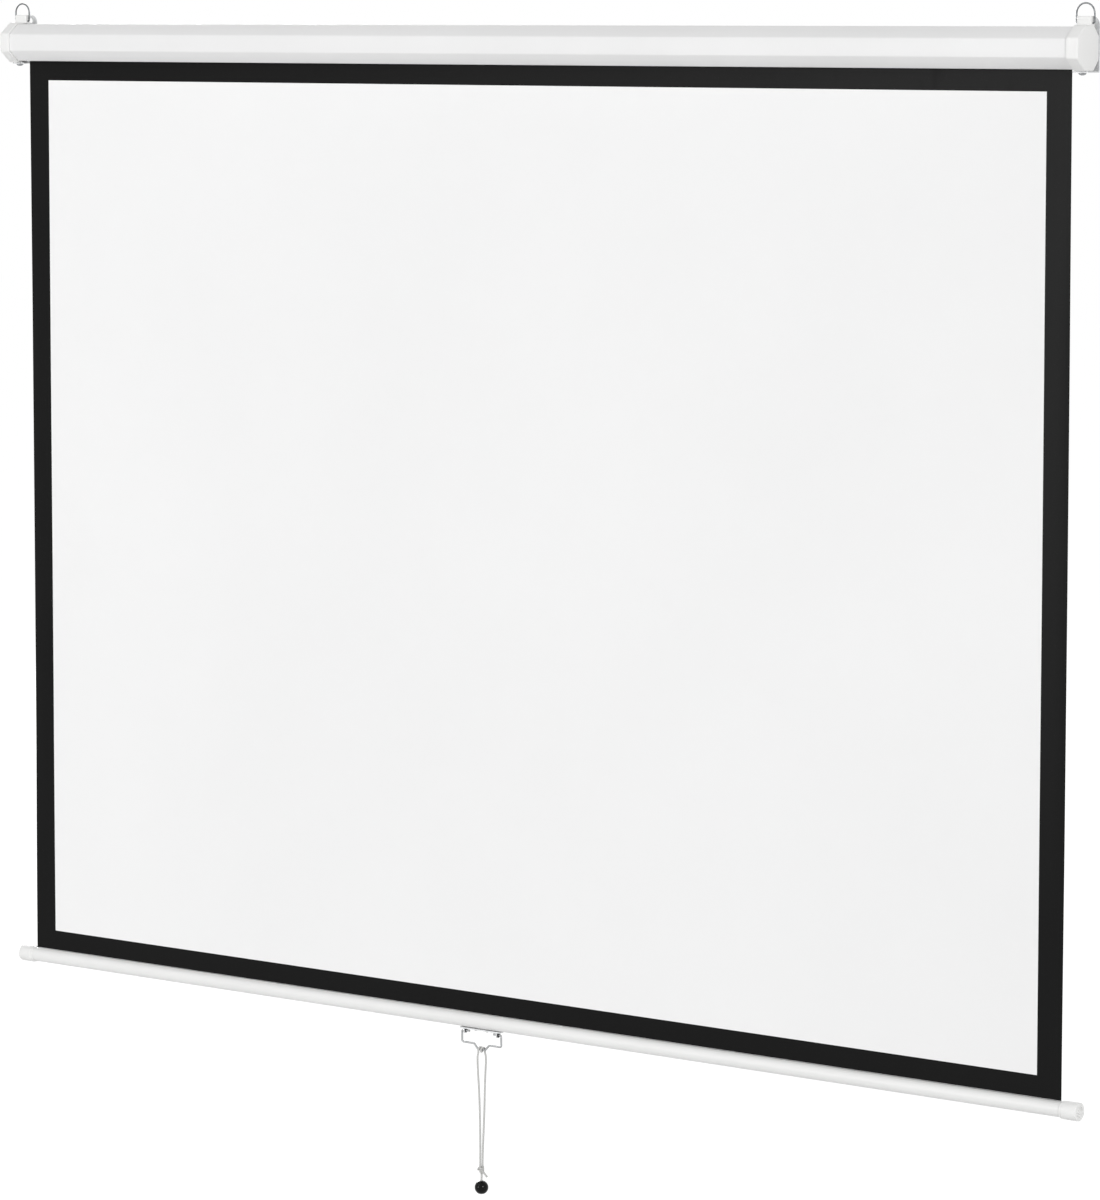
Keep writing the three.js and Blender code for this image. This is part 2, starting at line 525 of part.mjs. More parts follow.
// The roller: a tube, its two plugs, and the turns of fabric that stay on it
{
  const inside = roller.radius - roller.wall - gap;
  piece('roller_tube', turnX([
    [-tubeEnd, roller.radius - roller.wall], [-tubeEnd, roller.radius], [tubeEnd, roller.radius],
    [tubeEnd, roller.radius - roller.wall], [-tubeEnd, roller.radius - roller.wall],
  ], round.fine), finish.aluminium, rollerGroup);
  piece('fabric_wraps', turnX([
    [-sheetWidth / 2, roller.radius + gap], [-sheetWidth / 2, wrapOuter], [sheetWidth / 2, wrapOuter],
    [sheetWidth / 2, roller.radius + gap], [-sheetWidth / 2, roller.radius + gap],
  ], round.fine), finish.screenBlack, rollerGroup);
  const plugProfile = (side, bore) => [
    [side * (tubeEnd - plug.length), bore], [side * (tubeEnd - plug.length), inside],
    [side * (tubeEnd + gap), inside], [side * (tubeEnd + gap), roller.radius],
    [side * flangeOuter, roller.radius], [side * flangeOuter, bore],
    [side * (tubeEnd - plug.length), bore],
  ];
  piece('idle_plug', turnX(plugProfile(-1, pin.radius + gap)), finish.plasticWhite, rollerGroup);
  const bushFace = -(bracketInner - gap);
  const bushEnd = bushFace - bush.sleeve;
  piece('idle_pin', rodX(pin.radius, pin.inPlug - tubeEnd, bushEnd, 0, 0, round.medium), finish.steel,
    rollerGroup);
  const pinSpots = [Math.PI / 2, -Math.PI / 2];
  piece('drive_plug', shaped(turnX(plugProfile(1, shaft.radius + gap)), {
    cut: pinSpots.map((angle) => rodX(
      ratchet.pin + gap, flangeOuter - ratchet.pinSeat - gap, flangeOuter + overrun,
      ratchet.pivot * Math.cos(angle), ratchet.pivot * Math.sin(angle),
    )),
  }), finish.plasticWhite, rollerGroup);

  // Two pawls on the drive plug drop into the notches of a hub that is fixed on the shaft
  const lean = Math.acos((pawl.reach ** 2 + ratchet.pivot ** 2 - pawl.tipRadius ** 2)
    / (2 * pawl.reach * ratchet.pivot));
  const pawlOutline = (grow) => {
    const outline = new THREE.Shape();
    outline.moveTo(pawl.reach + grow, -grow / 2);
    outline.lineTo(pawl.nose + grow, pawl.back + grow);
    outline.lineTo(0, pawl.back + grow);
    outline.absarc(0, 0, pawl.back + grow, Math.PI / 2, 1.5 * Math.PI);
    outline.lineTo(0, -pawl.heel - grow);
    return outline;
  };
  const pawlAt = (grow, swing, flip, holes) => {
    const outline = pawlOutline(grow);
    if (holes) {
      const eye = new THREE.Path();
      eye.absarc(0, 0, ratchet.pin + gap, 0, 2 * Math.PI);
      outline.holes.push(eye);
    }
    const reach = holes ? 0 : overrun;
    return extrudeX(outline, ratchetStart - reach, ratchetEnd + reach, 6)
      .rotateX(lean - Math.PI / 2 - swing)
      .translate(0, 0, ratchet.pivot)
      .rotateX(flip * Math.PI);
  };
  for (const flip of [0, 1]) {
    piece(`pawl_${flip + 1}`, pawlAt(0, 0, flip, true), finish.zinc, rollerGroup);
    const pinZ = flip ? -ratchet.pivot : ratchet.pivot;
    const pinTop = ratchetEnd + gap;
    piece(`pawl_pin_${flip + 1}`, shaped(
      rodX(ratchet.pin, flangeOuter - ratchet.pinSeat, pinTop + ratchet.pinHeadHeight / 2, 0, pinZ),
      { add: [rodX(ratchet.pinHead, pinTop, pinTop + ratchet.pinHeadHeight, 0, pinZ)] },
    ), finish.steel, rollerGroup);
  }
  const notches = [];
  for (const flip of [0, 1]) {
    for (let k = 0; k <= pawl.dipSteps; k++) {
      const swing = THREE.MathUtils.degToRad((pawl.dip * k) / pawl.dipSteps);
      notches.push(pawlAt(gap, swing, flip, false));
    }
  }
  const shaftGroup = new THREE.Group();
  shaftGroup.position.y = rollerY;
  housing.add(shaftGroup);
  piece('ratchet_hub', shaped(
    rodX(ratchet.hub, ratchetStart, ratchetEnd, 0, 0, round.fine),
    { cut: [rodX(shaft.radius + gap, ratchetStart - overrun, ratchetEnd + overrun, 0, 0), ...notches] },
  ), finish.steel, shaftGroup);

  // The fixed shaft, the collar on its far end, and the torsion spring between that and the drive plug
  const shaftEnd = bracketInner - gap;
  const shaftStart = shaftEnd - shaft.length;
  piece('spring_shaft', shaped(rodX(shaft.radius, shaftStart, shaftEnd, 0, 0, round.medium), {
    add: [box([shaftEnd - shaft.radius, shaftEnd + shaft.tangLength],
      [-shaft.tangWidth / 2, shaft.tangWidth / 2], [-shaft.tangThickness / 2, shaft.tangThickness / 2])],
  }), finish.steel, shaftGroup);
  const collar = [shaftStart, shaftStart + anchor.length];
  piece('spring_anchor', turnX([
    [collar[0], shaft.radius + gap], [collar[0], anchor.radius], [collar[1], anchor.radius],
    [collar[1], shaft.radius + gap], [collar[0], shaft.radius + gap],
  ]), finish.plasticWhite, shaftGroup);
  const coilFrom = collar[1] + gap + spring.wire;
  const coilTo = tubeEnd - plug.length - gap - spring.wire;
  const coil = [];
  const steps = spring.turns * spring.stepsPerTurn;
  for (let k = 0; k <= steps; k++) {
    const angle = (k / spring.stepsPerTurn) * 2 * Math.PI;
    coil.push(new THREE.Vector3(
      coilFrom + ((coilTo - coilFrom) * k) / steps, spring.radius * Math.cos(angle),
      spring.radius * Math.sin(angle),
    ));
  }
  reportGap('torsion_spring', coil, spring.wire, spring.stepsPerTurn / 2);
  piece('torsion_spring', tube(coil, spring.wire, spring.sides), finish.springSteel, shaftGroup);

  // The bush that the idle pin turns in
  const bushIn = pin.radius + gap;
  const bushOut = bushIn + bush.wall;
  piece('idle_bush', turnX([
    [bushFace + bush.flangeThickness, bushIn], [bushFace + bush.flangeThickness, bush.flange],
    [bushFace, bush.flange], [bushFace, bushOut], [bushEnd, bushOut],
    [bushEnd, bushIn], [bushFace + bush.flangeThickness, bushIn],
  ]), finish.nylonBlack, shaftGroup);
}

// The sheet, and the black border printed on its front
{
  const half = sheetWidth / 2;
  const front = sheetY - sheet.thickness / 2;
  piece('screen_sheet', box([-half, half], [front, front + sheet.thickness], [sheetBottom, 0]),
    finish.screenWhite, housing);
  const frame = new THREE.Shape([
    new THREE.Vector2(-half, sheetBottom), new THREE.Vector2(half, sheetBottom),
    new THREE.Vector2(half, casingBottom + border.hidden),
    new THREE.Vector2(-half, casingBottom + border.hidden),
  ]);
  const window = new THREE.Path();
  const top = casingBottom - border.top;
  window.setFromPoints([
    new THREE.Vector2(-view.width / 2, top), new THREE.Vector2(view.width / 2, top),
    new THREE.Vector2(view.width / 2, top - view.height),
    new THREE.Vector2(-view.width / 2, top - view.height),
  ]);
  frame.holes.push(window);
  piece('black_border', extrudeY(frame, front - border.ink, front), finish.screenBlack, housing);
}

// The weight bar: a tube with a slot along its top, which holds the bead of the sheet's hem
{
  const half = sheetWidth / 2 + bar.pastSheet;
  const slotAngle = (radius) => Math.asin(bar.slot / 2 / radius);
  const inner = bar.radius - bar.wall;
  const section = new THREE.Shape();
  const top = Math.PI / 2;
  const around = 2 * Math.PI;
  section.absarc(0, 0, bar.radius, top + slotAngle(bar.radius), top + around - slotAngle(bar.radius));
  section.absarc(0, 0, inner, top + around - slotAngle(inner), top + slotAngle(inner), true);
  const holes = [-1, 1].map((side) => rodZ(
    stripScrew.shank + gap, -bar.radius - overrun, 0, handleSide + side * stripScrew.spread, 0,
  ));
  piece('weight_bar', shaped(extrudeX(section, -half, half, round.fine), { cut: holes }),
    finish.barWhite, barGroup);

  const kederHalf = sheetWidth / 2 - keder.shortOfEdge;
  const beadZ = inner - gap - keder.bead;
  const neck = Math.asin(keder.tongue / 2 / keder.bead);
  const hem = new THREE.Shape();
  hem.moveTo(-keder.tongue / 2, bar.radius + bar.reveal - gap);
  hem.absarc(0, beadZ, keder.bead, Math.PI / 2 + neck, 2.5 * Math.PI - neck);
  hem.lineTo(keder.tongue / 2, bar.radius + bar.reveal - gap);
  piece('hem_keder', extrudeX(hem, -kederHalf, kederHalf, 5), finish.screenWhite, barGroup);

  for (const [end, side] of [['left', -1], ['right', 1]]) {
    const tip = half + gap + barCap.endWall + barCap.faceSink;
    const mouthX = tip - barCap.reach;
    const bodyX = tip - barCap.body;
    const profile = [
      [half + gap, 0], [half + gap, bar.radius + gap], [mouthX, bar.radius + gap], [mouthX, barCap.mouth],
      [bodyX - barCap.groove - barCap.collarLength, barCap.collar],
      [bodyX - barCap.groove, barCap.collar], [bodyX - barCap.groove, barCap.radius - barCap.grooveDepth],
      [bodyX, barCap.radius - barCap.grooveDepth], [bodyX, barCap.radius],
      [tip - barCap.rounding, barCap.radius],
      [tip - barCap.rounding / 3, barCap.radius - barCap.rounding / 3],
      [tip, barCap.radius - barCap.rounding], [tip, barCap.faceRim],
      [tip - barCap.faceSink, barCap.faceRim], [tip - barCap.faceSink, barCap.button],
      [tip - barCap.buttonSink, barCap.button], [tip - barCap.buttonSink, 0],
    ];
    piece(`bar_cap_${end}`, turnX(profile.map(([x, radius]) => [side * x, radius])),
      finish.plasticWhite, barGroup);
  }

  // The handle's bracket: a strip below the bar with two ears
  const stripTop = -bar.radius - gap;
  const stripBottom = stripTop - strip.thickness;
  const ears = [-1, 1].map((side) => {
    const outline = new THREE.Shape();
    outline.moveTo(ear.width / 2, stripTop - strip.thickness / 2);
    outline.lineTo(-ear.width / 2, stripTop - strip.thickness / 2);
    outline.absarc(0, pivotZ, ear.width / 2, Math.PI, 2 * Math.PI);
    const outerX = handleSide + side * earX;
    return extrudeX(outline, outerX - side * ear.thickness, outerX, 6);
  });
  const boreR = bail.wire + gap + nylon.wall + gap;
  piece('handle_bracket', shaped(
    box([handleSide - strip.length / 2, handleSide + strip.length / 2], [-strip.width / 2, strip.width / 2],
      [stripBottom, stripTop]),
    {
      add: ears,
      cut: [
        rodX(boreR, handleSide - earX - overrun, handleSide + earX + overrun, 0, pivotZ),
        ...[-1, 1].map((side) => rodZ(
          stripScrew.shank + gap, stripBottom - overrun, stripTop + overrun,
          handleSide + side * stripScrew.spread, 0,
        )),
      ],
    },
  ), finish.zinc, barGroup);
  for (const [n, side] of [[1, -1], [2, 1]]) {
    const screwX0 = handleSide + side * stripScrew.spread;
    piece(`strip_screw_${n}`, screwZ(stripScrew, stripBottom - gap, screwX0, 0), finish.steel, barGroup);
    const inside = bail.wire + gap;
    const faceX = earX + gap;
    const backX = earX - ear.thickness - gap;
    const profile = [
      [backX, inside], [backX, inside + nylon.wall], [faceX, inside + nylon.wall], [faceX, nylon.flange],
      [faceX + nylon.flangeThickness, nylon.flange], [faceX + nylon.flangeThickness, inside],
      [backX, inside],
    ];
    piece(`pivot_bush_${side < 0 ? 'left' : 'right'}`,
      turnX(profile.map(([x, radius]) => [side * x, radius])).translate(handleSide, 0, pivotZ),
      finish.nylonBlack, barGroup);
  }
}

// The handle: one bent wire, hung by its two tails and drawn in to a throat for the cord
{
  const at = (x, z) => new THREE.Vector3(x, 0, z);
  const corners = [
    at(-bailX + bail.tail, 0), at(-bailX, 0), at(-bailX, -bail.leg),
    at(-bail.shoulder, -bail.leg), at(-bail.throat, -bail.drop), at(bail.throat, -bail.drop),
    at(bail.shoulder, -bail.leg),
    at(bailX, -bail.leg), at(bailX, 0), at(bailX - bail.tail, 0),
  ];
  const { corner, shoulderBend, throatBend } = bail;
  const radii = [
    corner, corner, shoulderBend, throatBend, throatBend, shoulderBend,
    corner, corner,
  ];
  piece('pull_handle', tube(bend(corners, radii, bail.bendSteps), bail.wire, bail.sides), finish.zinc,
    handleGroup);
}

// The cord: wound round the handle's throat, two strands down to a knot, and on into the ball
{
  const reach = bail.wire + gap + cord.radius;
  const wrap = [new THREE.Vector3(-cord.wrapHalf, -reach, -cord.leadIn)];
  for (let k = 0; k <= cord.wrapSteps; k++) {
    const share = k / cord.wrapSteps;
    const angle = Math.PI - share * cord.turns * 2 * Math.PI;
    wrap.push(new THREE.Vector3(
      cord.wrapHalf * (2 * share - 1), reach * Math.cos(angle), reach * Math.sin(angle),
    ));
  }
  wrap.push(new THREE.Vector3(cord.wrapHalf, reach, -cord.leadIn));
  reportGap('cord_wrap', wrap, cord.radius, cord.wrapSteps / cord.turns / 2);
  piece('cord_wrap', tube(wrap, cord.radius, cord.wrapSides), finish.cordGrey, cordGroup);

  const strandTop = -cord.leadIn - gap;
  const strand = (name, side, places) => {
    const points = [[side * cord.wrapHalf, side * reach, strandTop], ...places]
      .map(([x, y, z]) => new THREE.Vector3(x, y, z));
    const route = new THREE.CatmullRomCurve3(points, false, 'centripetal').getSpacedPoints(round.fine);
    piece(name, tube(route, cord.radius, cord.sides), finish.cordGrey, cordGroup);
  };
  strand('cord_strand_left', -1, strandPlaces.left);
  strand('cord_strand_right', 1, strandPlaces.right);

  const knotTop = strandPlaces.left.at(-1)[2] - gap;
  const knotBottom = knotTop - knot.height;
  const body = turnZ([
    [0, knotBottom], [knot.neck, knotBottom], [knot.radius, knotBottom + knot.height * knotShares.belly],
    [knot.radius, knotBottom + knot.height * knotShares.shoulder], [knot.neck, knotTop], [0, knotTop],
  ]).translate(knot.side, 0, 0);
  const tail = ({ from, way }, base, length) => {
    const root = new THREE.Vector3(knot.side, 0, base);
    const start = new THREE.Vector3(...from).multiplyScalar(knot.neck).add(root);
    const end = new THREE.Vector3(...way).multiplyScalar(length).add(start);
    return tube([start, end], cord.radius, cord.sides);
  };
  piece('cord_knot', shaped(body, {
    add: [
      tail(tailShares.short, knotBottom + knot.height * knotShares.shoulder, knot.tailShort),
      tail(tailShares.long, knotBottom, knot.tailLong),
    ],
  }), finish.cordGrey, cordGroup);

  const ballZ = knotBottom - gap - ball.below - ball.radius;
  const edge = (radius) => Math.sqrt(ball.radius ** 2 - radius ** 2);
  const profile = [];
  const topAngle = Math.asin(ball.bore / ball.radius);
  const bottomAngle = Math.PI - Math.asin(ball.recess / ball.radius);
  for (let k = 0; k <= round.medium; k++) {
    const angle = bottomAngle + ((topAngle - bottomAngle) * k) / round.medium;
    profile.push([ball.radius * Math.sin(angle), ball.radius * Math.cos(angle)]);
  }
  const recessTop = -edge(ball.recess) + ball.recessDepth;
  profile.push([ball.bore, recessTop], [ball.recess, recessTop], profile[0]);
  piece('pull_ball', turnZ(profile, round.fine).translate(knot.side, 0, ballZ), finish.ballBlack, cordGroup);
  const stopperZ = ballZ + recessTop - gap - stopper.radius;
  const cordEnd = stopperZ + stopper.radius + gap;
  piece('ball_cord', rodZ(cord.radius, knotBottom - gap, cordEnd, knot.side, 0, cord.sides),
    finish.cordGrey, cordGroup);
  piece('ball_stopper', new THREE.SphereGeometry(stopper.radius, round.coarse, round.low)
    .rotateX(Math.PI / 2).translate(knot.side, 0, stopperZ), finish.cordGrey, cordGroup);
}

export default screen;
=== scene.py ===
# A pull down projector screen, hanging fully open: painted casing with moulded end caps, the bordered
# sheet, the weight bar, and the wire handle with its cord, knot and ball. Lengths are in millimetres,
# and MM turns them into the scene's metres.
import json
import math

import bpy
from mathutils import Matrix, Vector

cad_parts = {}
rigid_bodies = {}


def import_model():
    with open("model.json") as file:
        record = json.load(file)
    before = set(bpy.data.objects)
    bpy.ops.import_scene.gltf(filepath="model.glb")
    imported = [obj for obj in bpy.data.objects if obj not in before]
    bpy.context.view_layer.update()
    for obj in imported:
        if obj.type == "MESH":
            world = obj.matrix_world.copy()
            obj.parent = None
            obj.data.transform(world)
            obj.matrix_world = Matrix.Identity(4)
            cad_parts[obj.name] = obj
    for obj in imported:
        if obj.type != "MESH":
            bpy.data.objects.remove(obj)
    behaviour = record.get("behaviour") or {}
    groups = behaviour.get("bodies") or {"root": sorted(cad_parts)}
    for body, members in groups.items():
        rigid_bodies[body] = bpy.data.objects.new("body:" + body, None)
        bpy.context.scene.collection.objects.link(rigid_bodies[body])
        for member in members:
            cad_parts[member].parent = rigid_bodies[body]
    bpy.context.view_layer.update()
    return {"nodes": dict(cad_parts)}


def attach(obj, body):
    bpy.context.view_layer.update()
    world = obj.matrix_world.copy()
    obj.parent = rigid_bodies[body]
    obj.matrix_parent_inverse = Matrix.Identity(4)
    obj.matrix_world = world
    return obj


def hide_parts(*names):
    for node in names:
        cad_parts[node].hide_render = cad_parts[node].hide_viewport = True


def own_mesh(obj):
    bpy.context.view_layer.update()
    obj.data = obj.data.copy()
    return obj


for leftover in list(bpy.data.objects):
    bpy.data.objects.remove(leftover)

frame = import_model()

MM = 0.001
GAP = 0.3  # the frame's clearance between pieces


# Places and sizes read from the frame

def box_of(name):
    """The low and the high corner of a CAD piece"""
    points = [point.co / MM for point in frame['nodes'][name].data.vertices]
    return [tuple(round(end(point[axis] for point in points), 2) for axis in range(3)) for end in (min, max)]


def middle_of(name):
    return [round((low + high) / 2, 2) for low, high in zip(*box_of(name))]


CASING_LOW, CASING_HIGH = box_of('casing_shell')
CAP_LOW, CAP_HIGH = box_of('end_cap_right')
PLATE_LOW, PLATE_HIGH = box_of('wall_plate_right')
SHEET_LOW, SHEET_HIGH = box_of('screen_sheet')
HEM_LOW, HEM_HIGH = box_of('hem_keder')
BAR_LOW, BAR_HIGH = box_of('weight_bar')
BAR_CAP_LOW, BAR_CAP_HIGH = box_of('bar_cap_right')
RING_LOW, RING_HIGH = box_of('hanging_ring_right')
STRIP_LOW, STRIP_HIGH = box_of('handle_bracket')

SHEET_HALF, SHEET_BOTTOM = SHEET_HIGH[0], SHEET_LOW[2]
SHEET_Y = middle_of('screen_sheet')[1]
ROLLER_Y = middle_of('roller_tube')[1]
BRACKET_X = box_of('roller_bracket_right')[1][0]
BOSS_Y, BOSS_Z = middle_of('bracket_screw_right_upper')[1:]
CAP_SCREW_Y = middle_of('cap_screw_right')[1]
HOOK_X, HOOK_Y = middle_of('hanging_ring_right')[:2]
RING_WIRE = (RING_HIGH[1] - RING_LOW[1]) / 2
RING_Z = RING_LOW[2] + RING_WIRE
BAR_RADIUS = 12.5
BAR_Z = BAR_LOW[2] + BAR_RADIUS
HANDLE_X = middle_of('handle_bracket')[0]
PIVOT_Z = middle_of('pivot_bush_left')[2]
HANDLE_DROP = 29.0
HANDLE_WIRE = 1.8
THROAT_Z = PIVOT_Z - HANDLE_DROP

BORDER_SIDE, BORDER_TOP, BORDER_BOTTOM = 44.0, 34.0, 35.0
VIEW_HALF = SHEET_HALF - BORDER_SIDE
VIEW_TOP, VIEW_BOTTOM = CASING_LOW[2] - BORDER_TOP, SHEET_BOTTOM + BORDER_BOTTOM


# Camera

PHOTO_PLACE = (4.7647, -6.4843, 0.0476)  # metres
PHOTO_YAW, PHOTO_PITCH, PHOTO_ROLL = 35.932, -5.173, -0.053  # degrees
PHOTO_LENS, PHOTO_SHIFT = 145.8, -0.12


def place_camera():
    lens = bpy.data.cameras.new("Photo camera")
    lens.sensor_width = 36
    lens.lens = PHOTO_LENS
    lens.shift_y = PHOTO_SHIFT
    lens.clip_start, lens.clip_end = 0.1, 100
    eye = bpy.data.objects.new("Photo camera", lens)
    bpy.context.scene.collection.objects.link(eye)
    turn = Matrix.Identity(4)
    for degrees, axis in ((PHOTO_YAW, 'Z'), (PHOTO_PITCH, 'X'), (PHOTO_ROLL, 'Y'), (90, 'X')):
        turn = turn @ Matrix.Rotation(math.radians(degrees), 4, axis)
    eye.matrix_world = Matrix.Translation(PHOTO_PLACE) @ turn
    bpy.context.scene.camera = eye


place_camera()


# Shared surface effects

def new_effect(name, inputs, outputs):
    tree = bpy.data.node_groups.new(name, 'ShaderNodeTree')
    for label, kind, value in inputs:
        socket = tree.interface.new_socket(name=label, in_out='INPUT', socket_type=kind)
        if value is not None:
            socket.default_value = value
    for label, kind in outputs:
        tree.interface.new_socket(name=label, in_out='OUTPUT', socket_type=kind)
    return tree, tree.nodes.new('NodeGroupInput'), tree.nodes.new('NodeGroupOutput')


def node(tree, kind, wires=(), **settings):
    """A node of the tree with its settings made and its inputs wired or set"""
    made = tree.nodes.new(kind)
    for setting, value in settings.items():
        setattr(made, setting, value)
    for label, source in dict(wires).items():
        if isinstance(source, bpy.types.NodeSocket):
            tree.links.new(source, made.inputs[label])
        else:
            made.inputs[label].default_value = source
    return made


def ramp(tree, value, low, high, low_at=0.0, high_at=1.0):
    """The value carried from low_at..high_at over to low..high"""
    return node(tree, 'ShaderNodeMapRange', {'Value': value, 'From Min': low_at, 'From Max': high_at,
                                             'To Min': low, 'To Max': high}).outputs['Result']


def mix(tree, share, first, second):
    """Two colours mixed by a share; the sockets of a colour mix are told apart by their place"""
    made = tree.nodes.new('ShaderNodeMix')
    made.data_type = 'RGBA'
    for place, source in ((0, share), (6, first), (7, second)):
        if isinstance(source, bpy.types.NodeSocket):
            tree.links.new(source, made.inputs[place])
        else:
            made.inputs[place].default_value = source
    return made.outputs[2]


def make_fine_grain():
    """Orange peel of paint, spark texture of mouldings: a height and a soft mask"""
    tree, given, out = new_effect('Fine grain', [
        ('Place', 'NodeSocketVector', None), ('Scale', 'NodeSocketFloat', 900.0),
        ('Patch scale', 'NodeSocketFloat', 6.0)], [
        ('Height', 'NodeSocketFloat'), ('Patches', 'NodeSocketFloat')])
    peel = node(tree, 'ShaderNodeTexNoise', {'Vector': given.outputs['Place'], 'Detail': 3.0,
                                             'Scale': given.outputs['Scale'], 'Roughness': 0.55})
    patch = node(tree, 'ShaderNodeTexNoise', {'Vector': given.outputs['Place'],
                                              'Scale': given.outputs['Patch scale'], 'Detail': 4.0})
    tree.links.new(peel.outputs[0], out.inputs['Height'])
    tree.links.new(ramp(tree, patch.outputs[0], 0, 1, 0.3, 0.7), out.inputs['Patches'])
    return tree


def make_handling():
    """Handling marks: thin scuffs that run mostly one way, and a dusting of specks"""
    tree, given, out = new_effect('Handling marks', [
        ('Place', 'NodeSocketVector', None), ('Scuff scale', 'NodeSocketFloat', 40.0),
        ('Stretch', 'NodeSocketVector', (0.15, 1.0, 1.0)), ('Speck scale', 'NodeSocketFloat', 260.0)], [
        ('Scuffs', 'NodeSocketFloat'), ('Specks', 'NodeSocketFloat')])
    stretched = node(tree, 'ShaderNodeVectorMath', {0: given.outputs['Place'], 1: given.outputs['Stretch']},
                     operation='MULTIPLY')
    scuff = node(tree, 'ShaderNodeTexNoise', {'Vector': stretched.outputs[0],
                                              'Scale': given.outputs['Scuff scale'], 'Detail': 8.0,
                                              'Roughness': 0.7})
    speck = node(tree, 'ShaderNodeTexVoronoi', {'Vector': given.outputs['Place'],
                                                'Scale': given.outputs['Speck scale']})
    tree.links.new(ramp(tree, scuff.outputs[0], 0, 1, 0.6, 0.72), out.inputs['Scuffs'])
    tree.links.new(ramp(tree, speck.outputs['Distance'], 1, 0, 0.02, 0.12), out.inputs['Specks'])
    return tree


def make_brushing():
    """Fine lines of drawn or brushed metal along X, with a height and a tint"""
    tree, given, out = new_effect('Brushed lines', [
        ('Place', 'NodeSocketVector', None), ('Stretch', 'NodeSocketVector', (4.0, 900.0, 900.0))], [
        ('Height', 'NodeSocketFloat'), ('Tint', 'NodeSocketFloat')])
    stretched = node(tree, 'ShaderNodeVectorMath', {0: given.outputs['Place'], 1: given.outputs['Stretch']},
                     operation='MULTIPLY')
    lines = node(tree, 'ShaderNodeTexNoise', {'Vector': stretched.outputs[0], 'Scale': 1.0, 'Detail': 5.0,
                                              'Roughness': 0.65})
    tree.links.new(lines.outputs[0], out.inputs['Height'])
    tree.links.new(ramp(tree, lines.outputs[0], 0, 1, 0.35, 0.65), out.inputs['Tint'])
    return tree


def make_braid():
    """A plain braid of two sets of yarns that cross at a slant; Across counts turns, Along is metres"""
    tree, given, out = new_effect('Braided cord', [
        ('Across', 'NodeSocketFloat', 0.0), ('Along', 'NodeSocketFloat', 0.0),
        ('Yarns', 'NodeSocketFloat', 8.0), ('Pitch', 'NodeSocketFloat', 0.006)], [
        ('Height', 'NodeSocketFloat'), ('Painted furrow shade', 'NodeSocketFloat')])
    turns = node(tree, 'ShaderNodeMath', {0: given.outputs['Along'], 1: given.outputs['Pitch']},
                 operation='DIVIDE').outputs[0]
    waves = []
    for way in ('ADD', 'SUBTRACT'):
        lean = node(tree, 'ShaderNodeMath', {0: given.outputs['Across'], 1: turns}, operation=way).outputs[0]
        count = node(tree, 'ShaderNodeMath', {0: lean, 1: given.outputs['Yarns']}, operation='MULTIPLY')
        angle = node(tree, 'ShaderNodeMath', {0: count.outputs[0], 1: math.pi}, operation='MULTIPLY')
        wave = node(tree, 'ShaderNodeMath', {0: angle.outputs[0]}, operation='SINE')
        waves.append(node(tree, 'ShaderNodeMath', {0: wave.outputs[0]}, operation='ABSOLUTE').outputs[0])
    crossing = node(tree, 'ShaderNodeMath', {0: waves[0], 1: waves[1]}, operation='MULTIPLY').outputs[0]
    tree.links.new(crossing, out.inputs['Height'])
    # Painted shade: this mask is 1 in the low furrows between the yarns, where the cord's colour is darkened
    tree.links.new(ramp(tree, crossing, 1, 0, 0.0, 0.5), out.inputs['Painted furrow shade'])
    return tree


fine_grain, handling, brushing, braid = make_fine_grain(), make_handling(), make_brushing(), make_braid()


# Finishes

DUST_ON_WHITE, DUST_ON_BLACK = 'd3d2cc', '6a6a68'


def shade(text):
    """A written colour, such as e6e6e4, as linear values"""
    made = []
    for i in (0, 2, 4):
        c = int(text[i:i + 2], 16) / 255
        made.append(c / 12.92 if c <= 0.04045 else ((c + 0.055) / 1.055) ** 2.4)
    return (*made, 1.0)


def new_finish(name, roughness, metallic=0.0, **sockets):
    finish = bpy.data.materials.new(name)
    finish.use_nodes = True
    tree = finish.node_tree
    surface = tree.nodes['Principled BSDF']
    surface.inputs['Roughness'].default_value = roughness
    surface.inputs['Metallic'].default_value = metallic
    for label, value in sockets.items():
        surface.inputs[label.replace('_', ' ')].default_value = value
    place = node(tree, 'ShaderNodeTexCoord').outputs['Object']
    return finish, tree, surface, place


def effect(tree, which, **wires):
    """A shared effect placed in a material; an underscore stands for a space in a socket's name"""
    labelled = {label.replace('_', ' '): source for label, source in wires.items()}
    return node(tree, 'ShaderNodeGroup', labelled, node_tree=which).outputs


def colour_from(tree, surface, patches, first, second, cover=None, cover_colour=None, cover_share=0.0):
    """Base colour: two tones in patches, and a share of a cover, such as dust, where its mask is bright"""
    colour = mix(tree, patches, shade(first), shade(second))
    if cover:
        thin = node(tree, 'ShaderNodeMath', {0: cover, 1: cover_share}, operation='MULTIPLY')
        colour = mix(tree, thin.outputs[0], colour, shade(cover_colour))
    tree.links.new(colour, surface.inputs['Base Color'])


def roughness_from(tree, surface, mask, more, base):
    """Roughness: the base, and more where the mask is bright"""
    rough = node(tree, 'ShaderNodeMath', {0: mask, 1: more, 2: base}, operation='MULTIPLY_ADD')
    tree.links.new(rough.outputs[0], surface.inputs['Roughness'])


def bump(tree, surface, height, depth, strength=1.0, below=None):
    """Relief of a depth in metres, laid over the one below"""
    made = node(tree, 'ShaderNodeBump', {'Height': height, 'Distance': depth, 'Strength': strength})
    if below:
        tree.links.new(below, made.inputs['Normal'])
    tree.links.new(made.outputs['Normal'], surface.inputs['Normal'])
    return made.outputs['Normal']


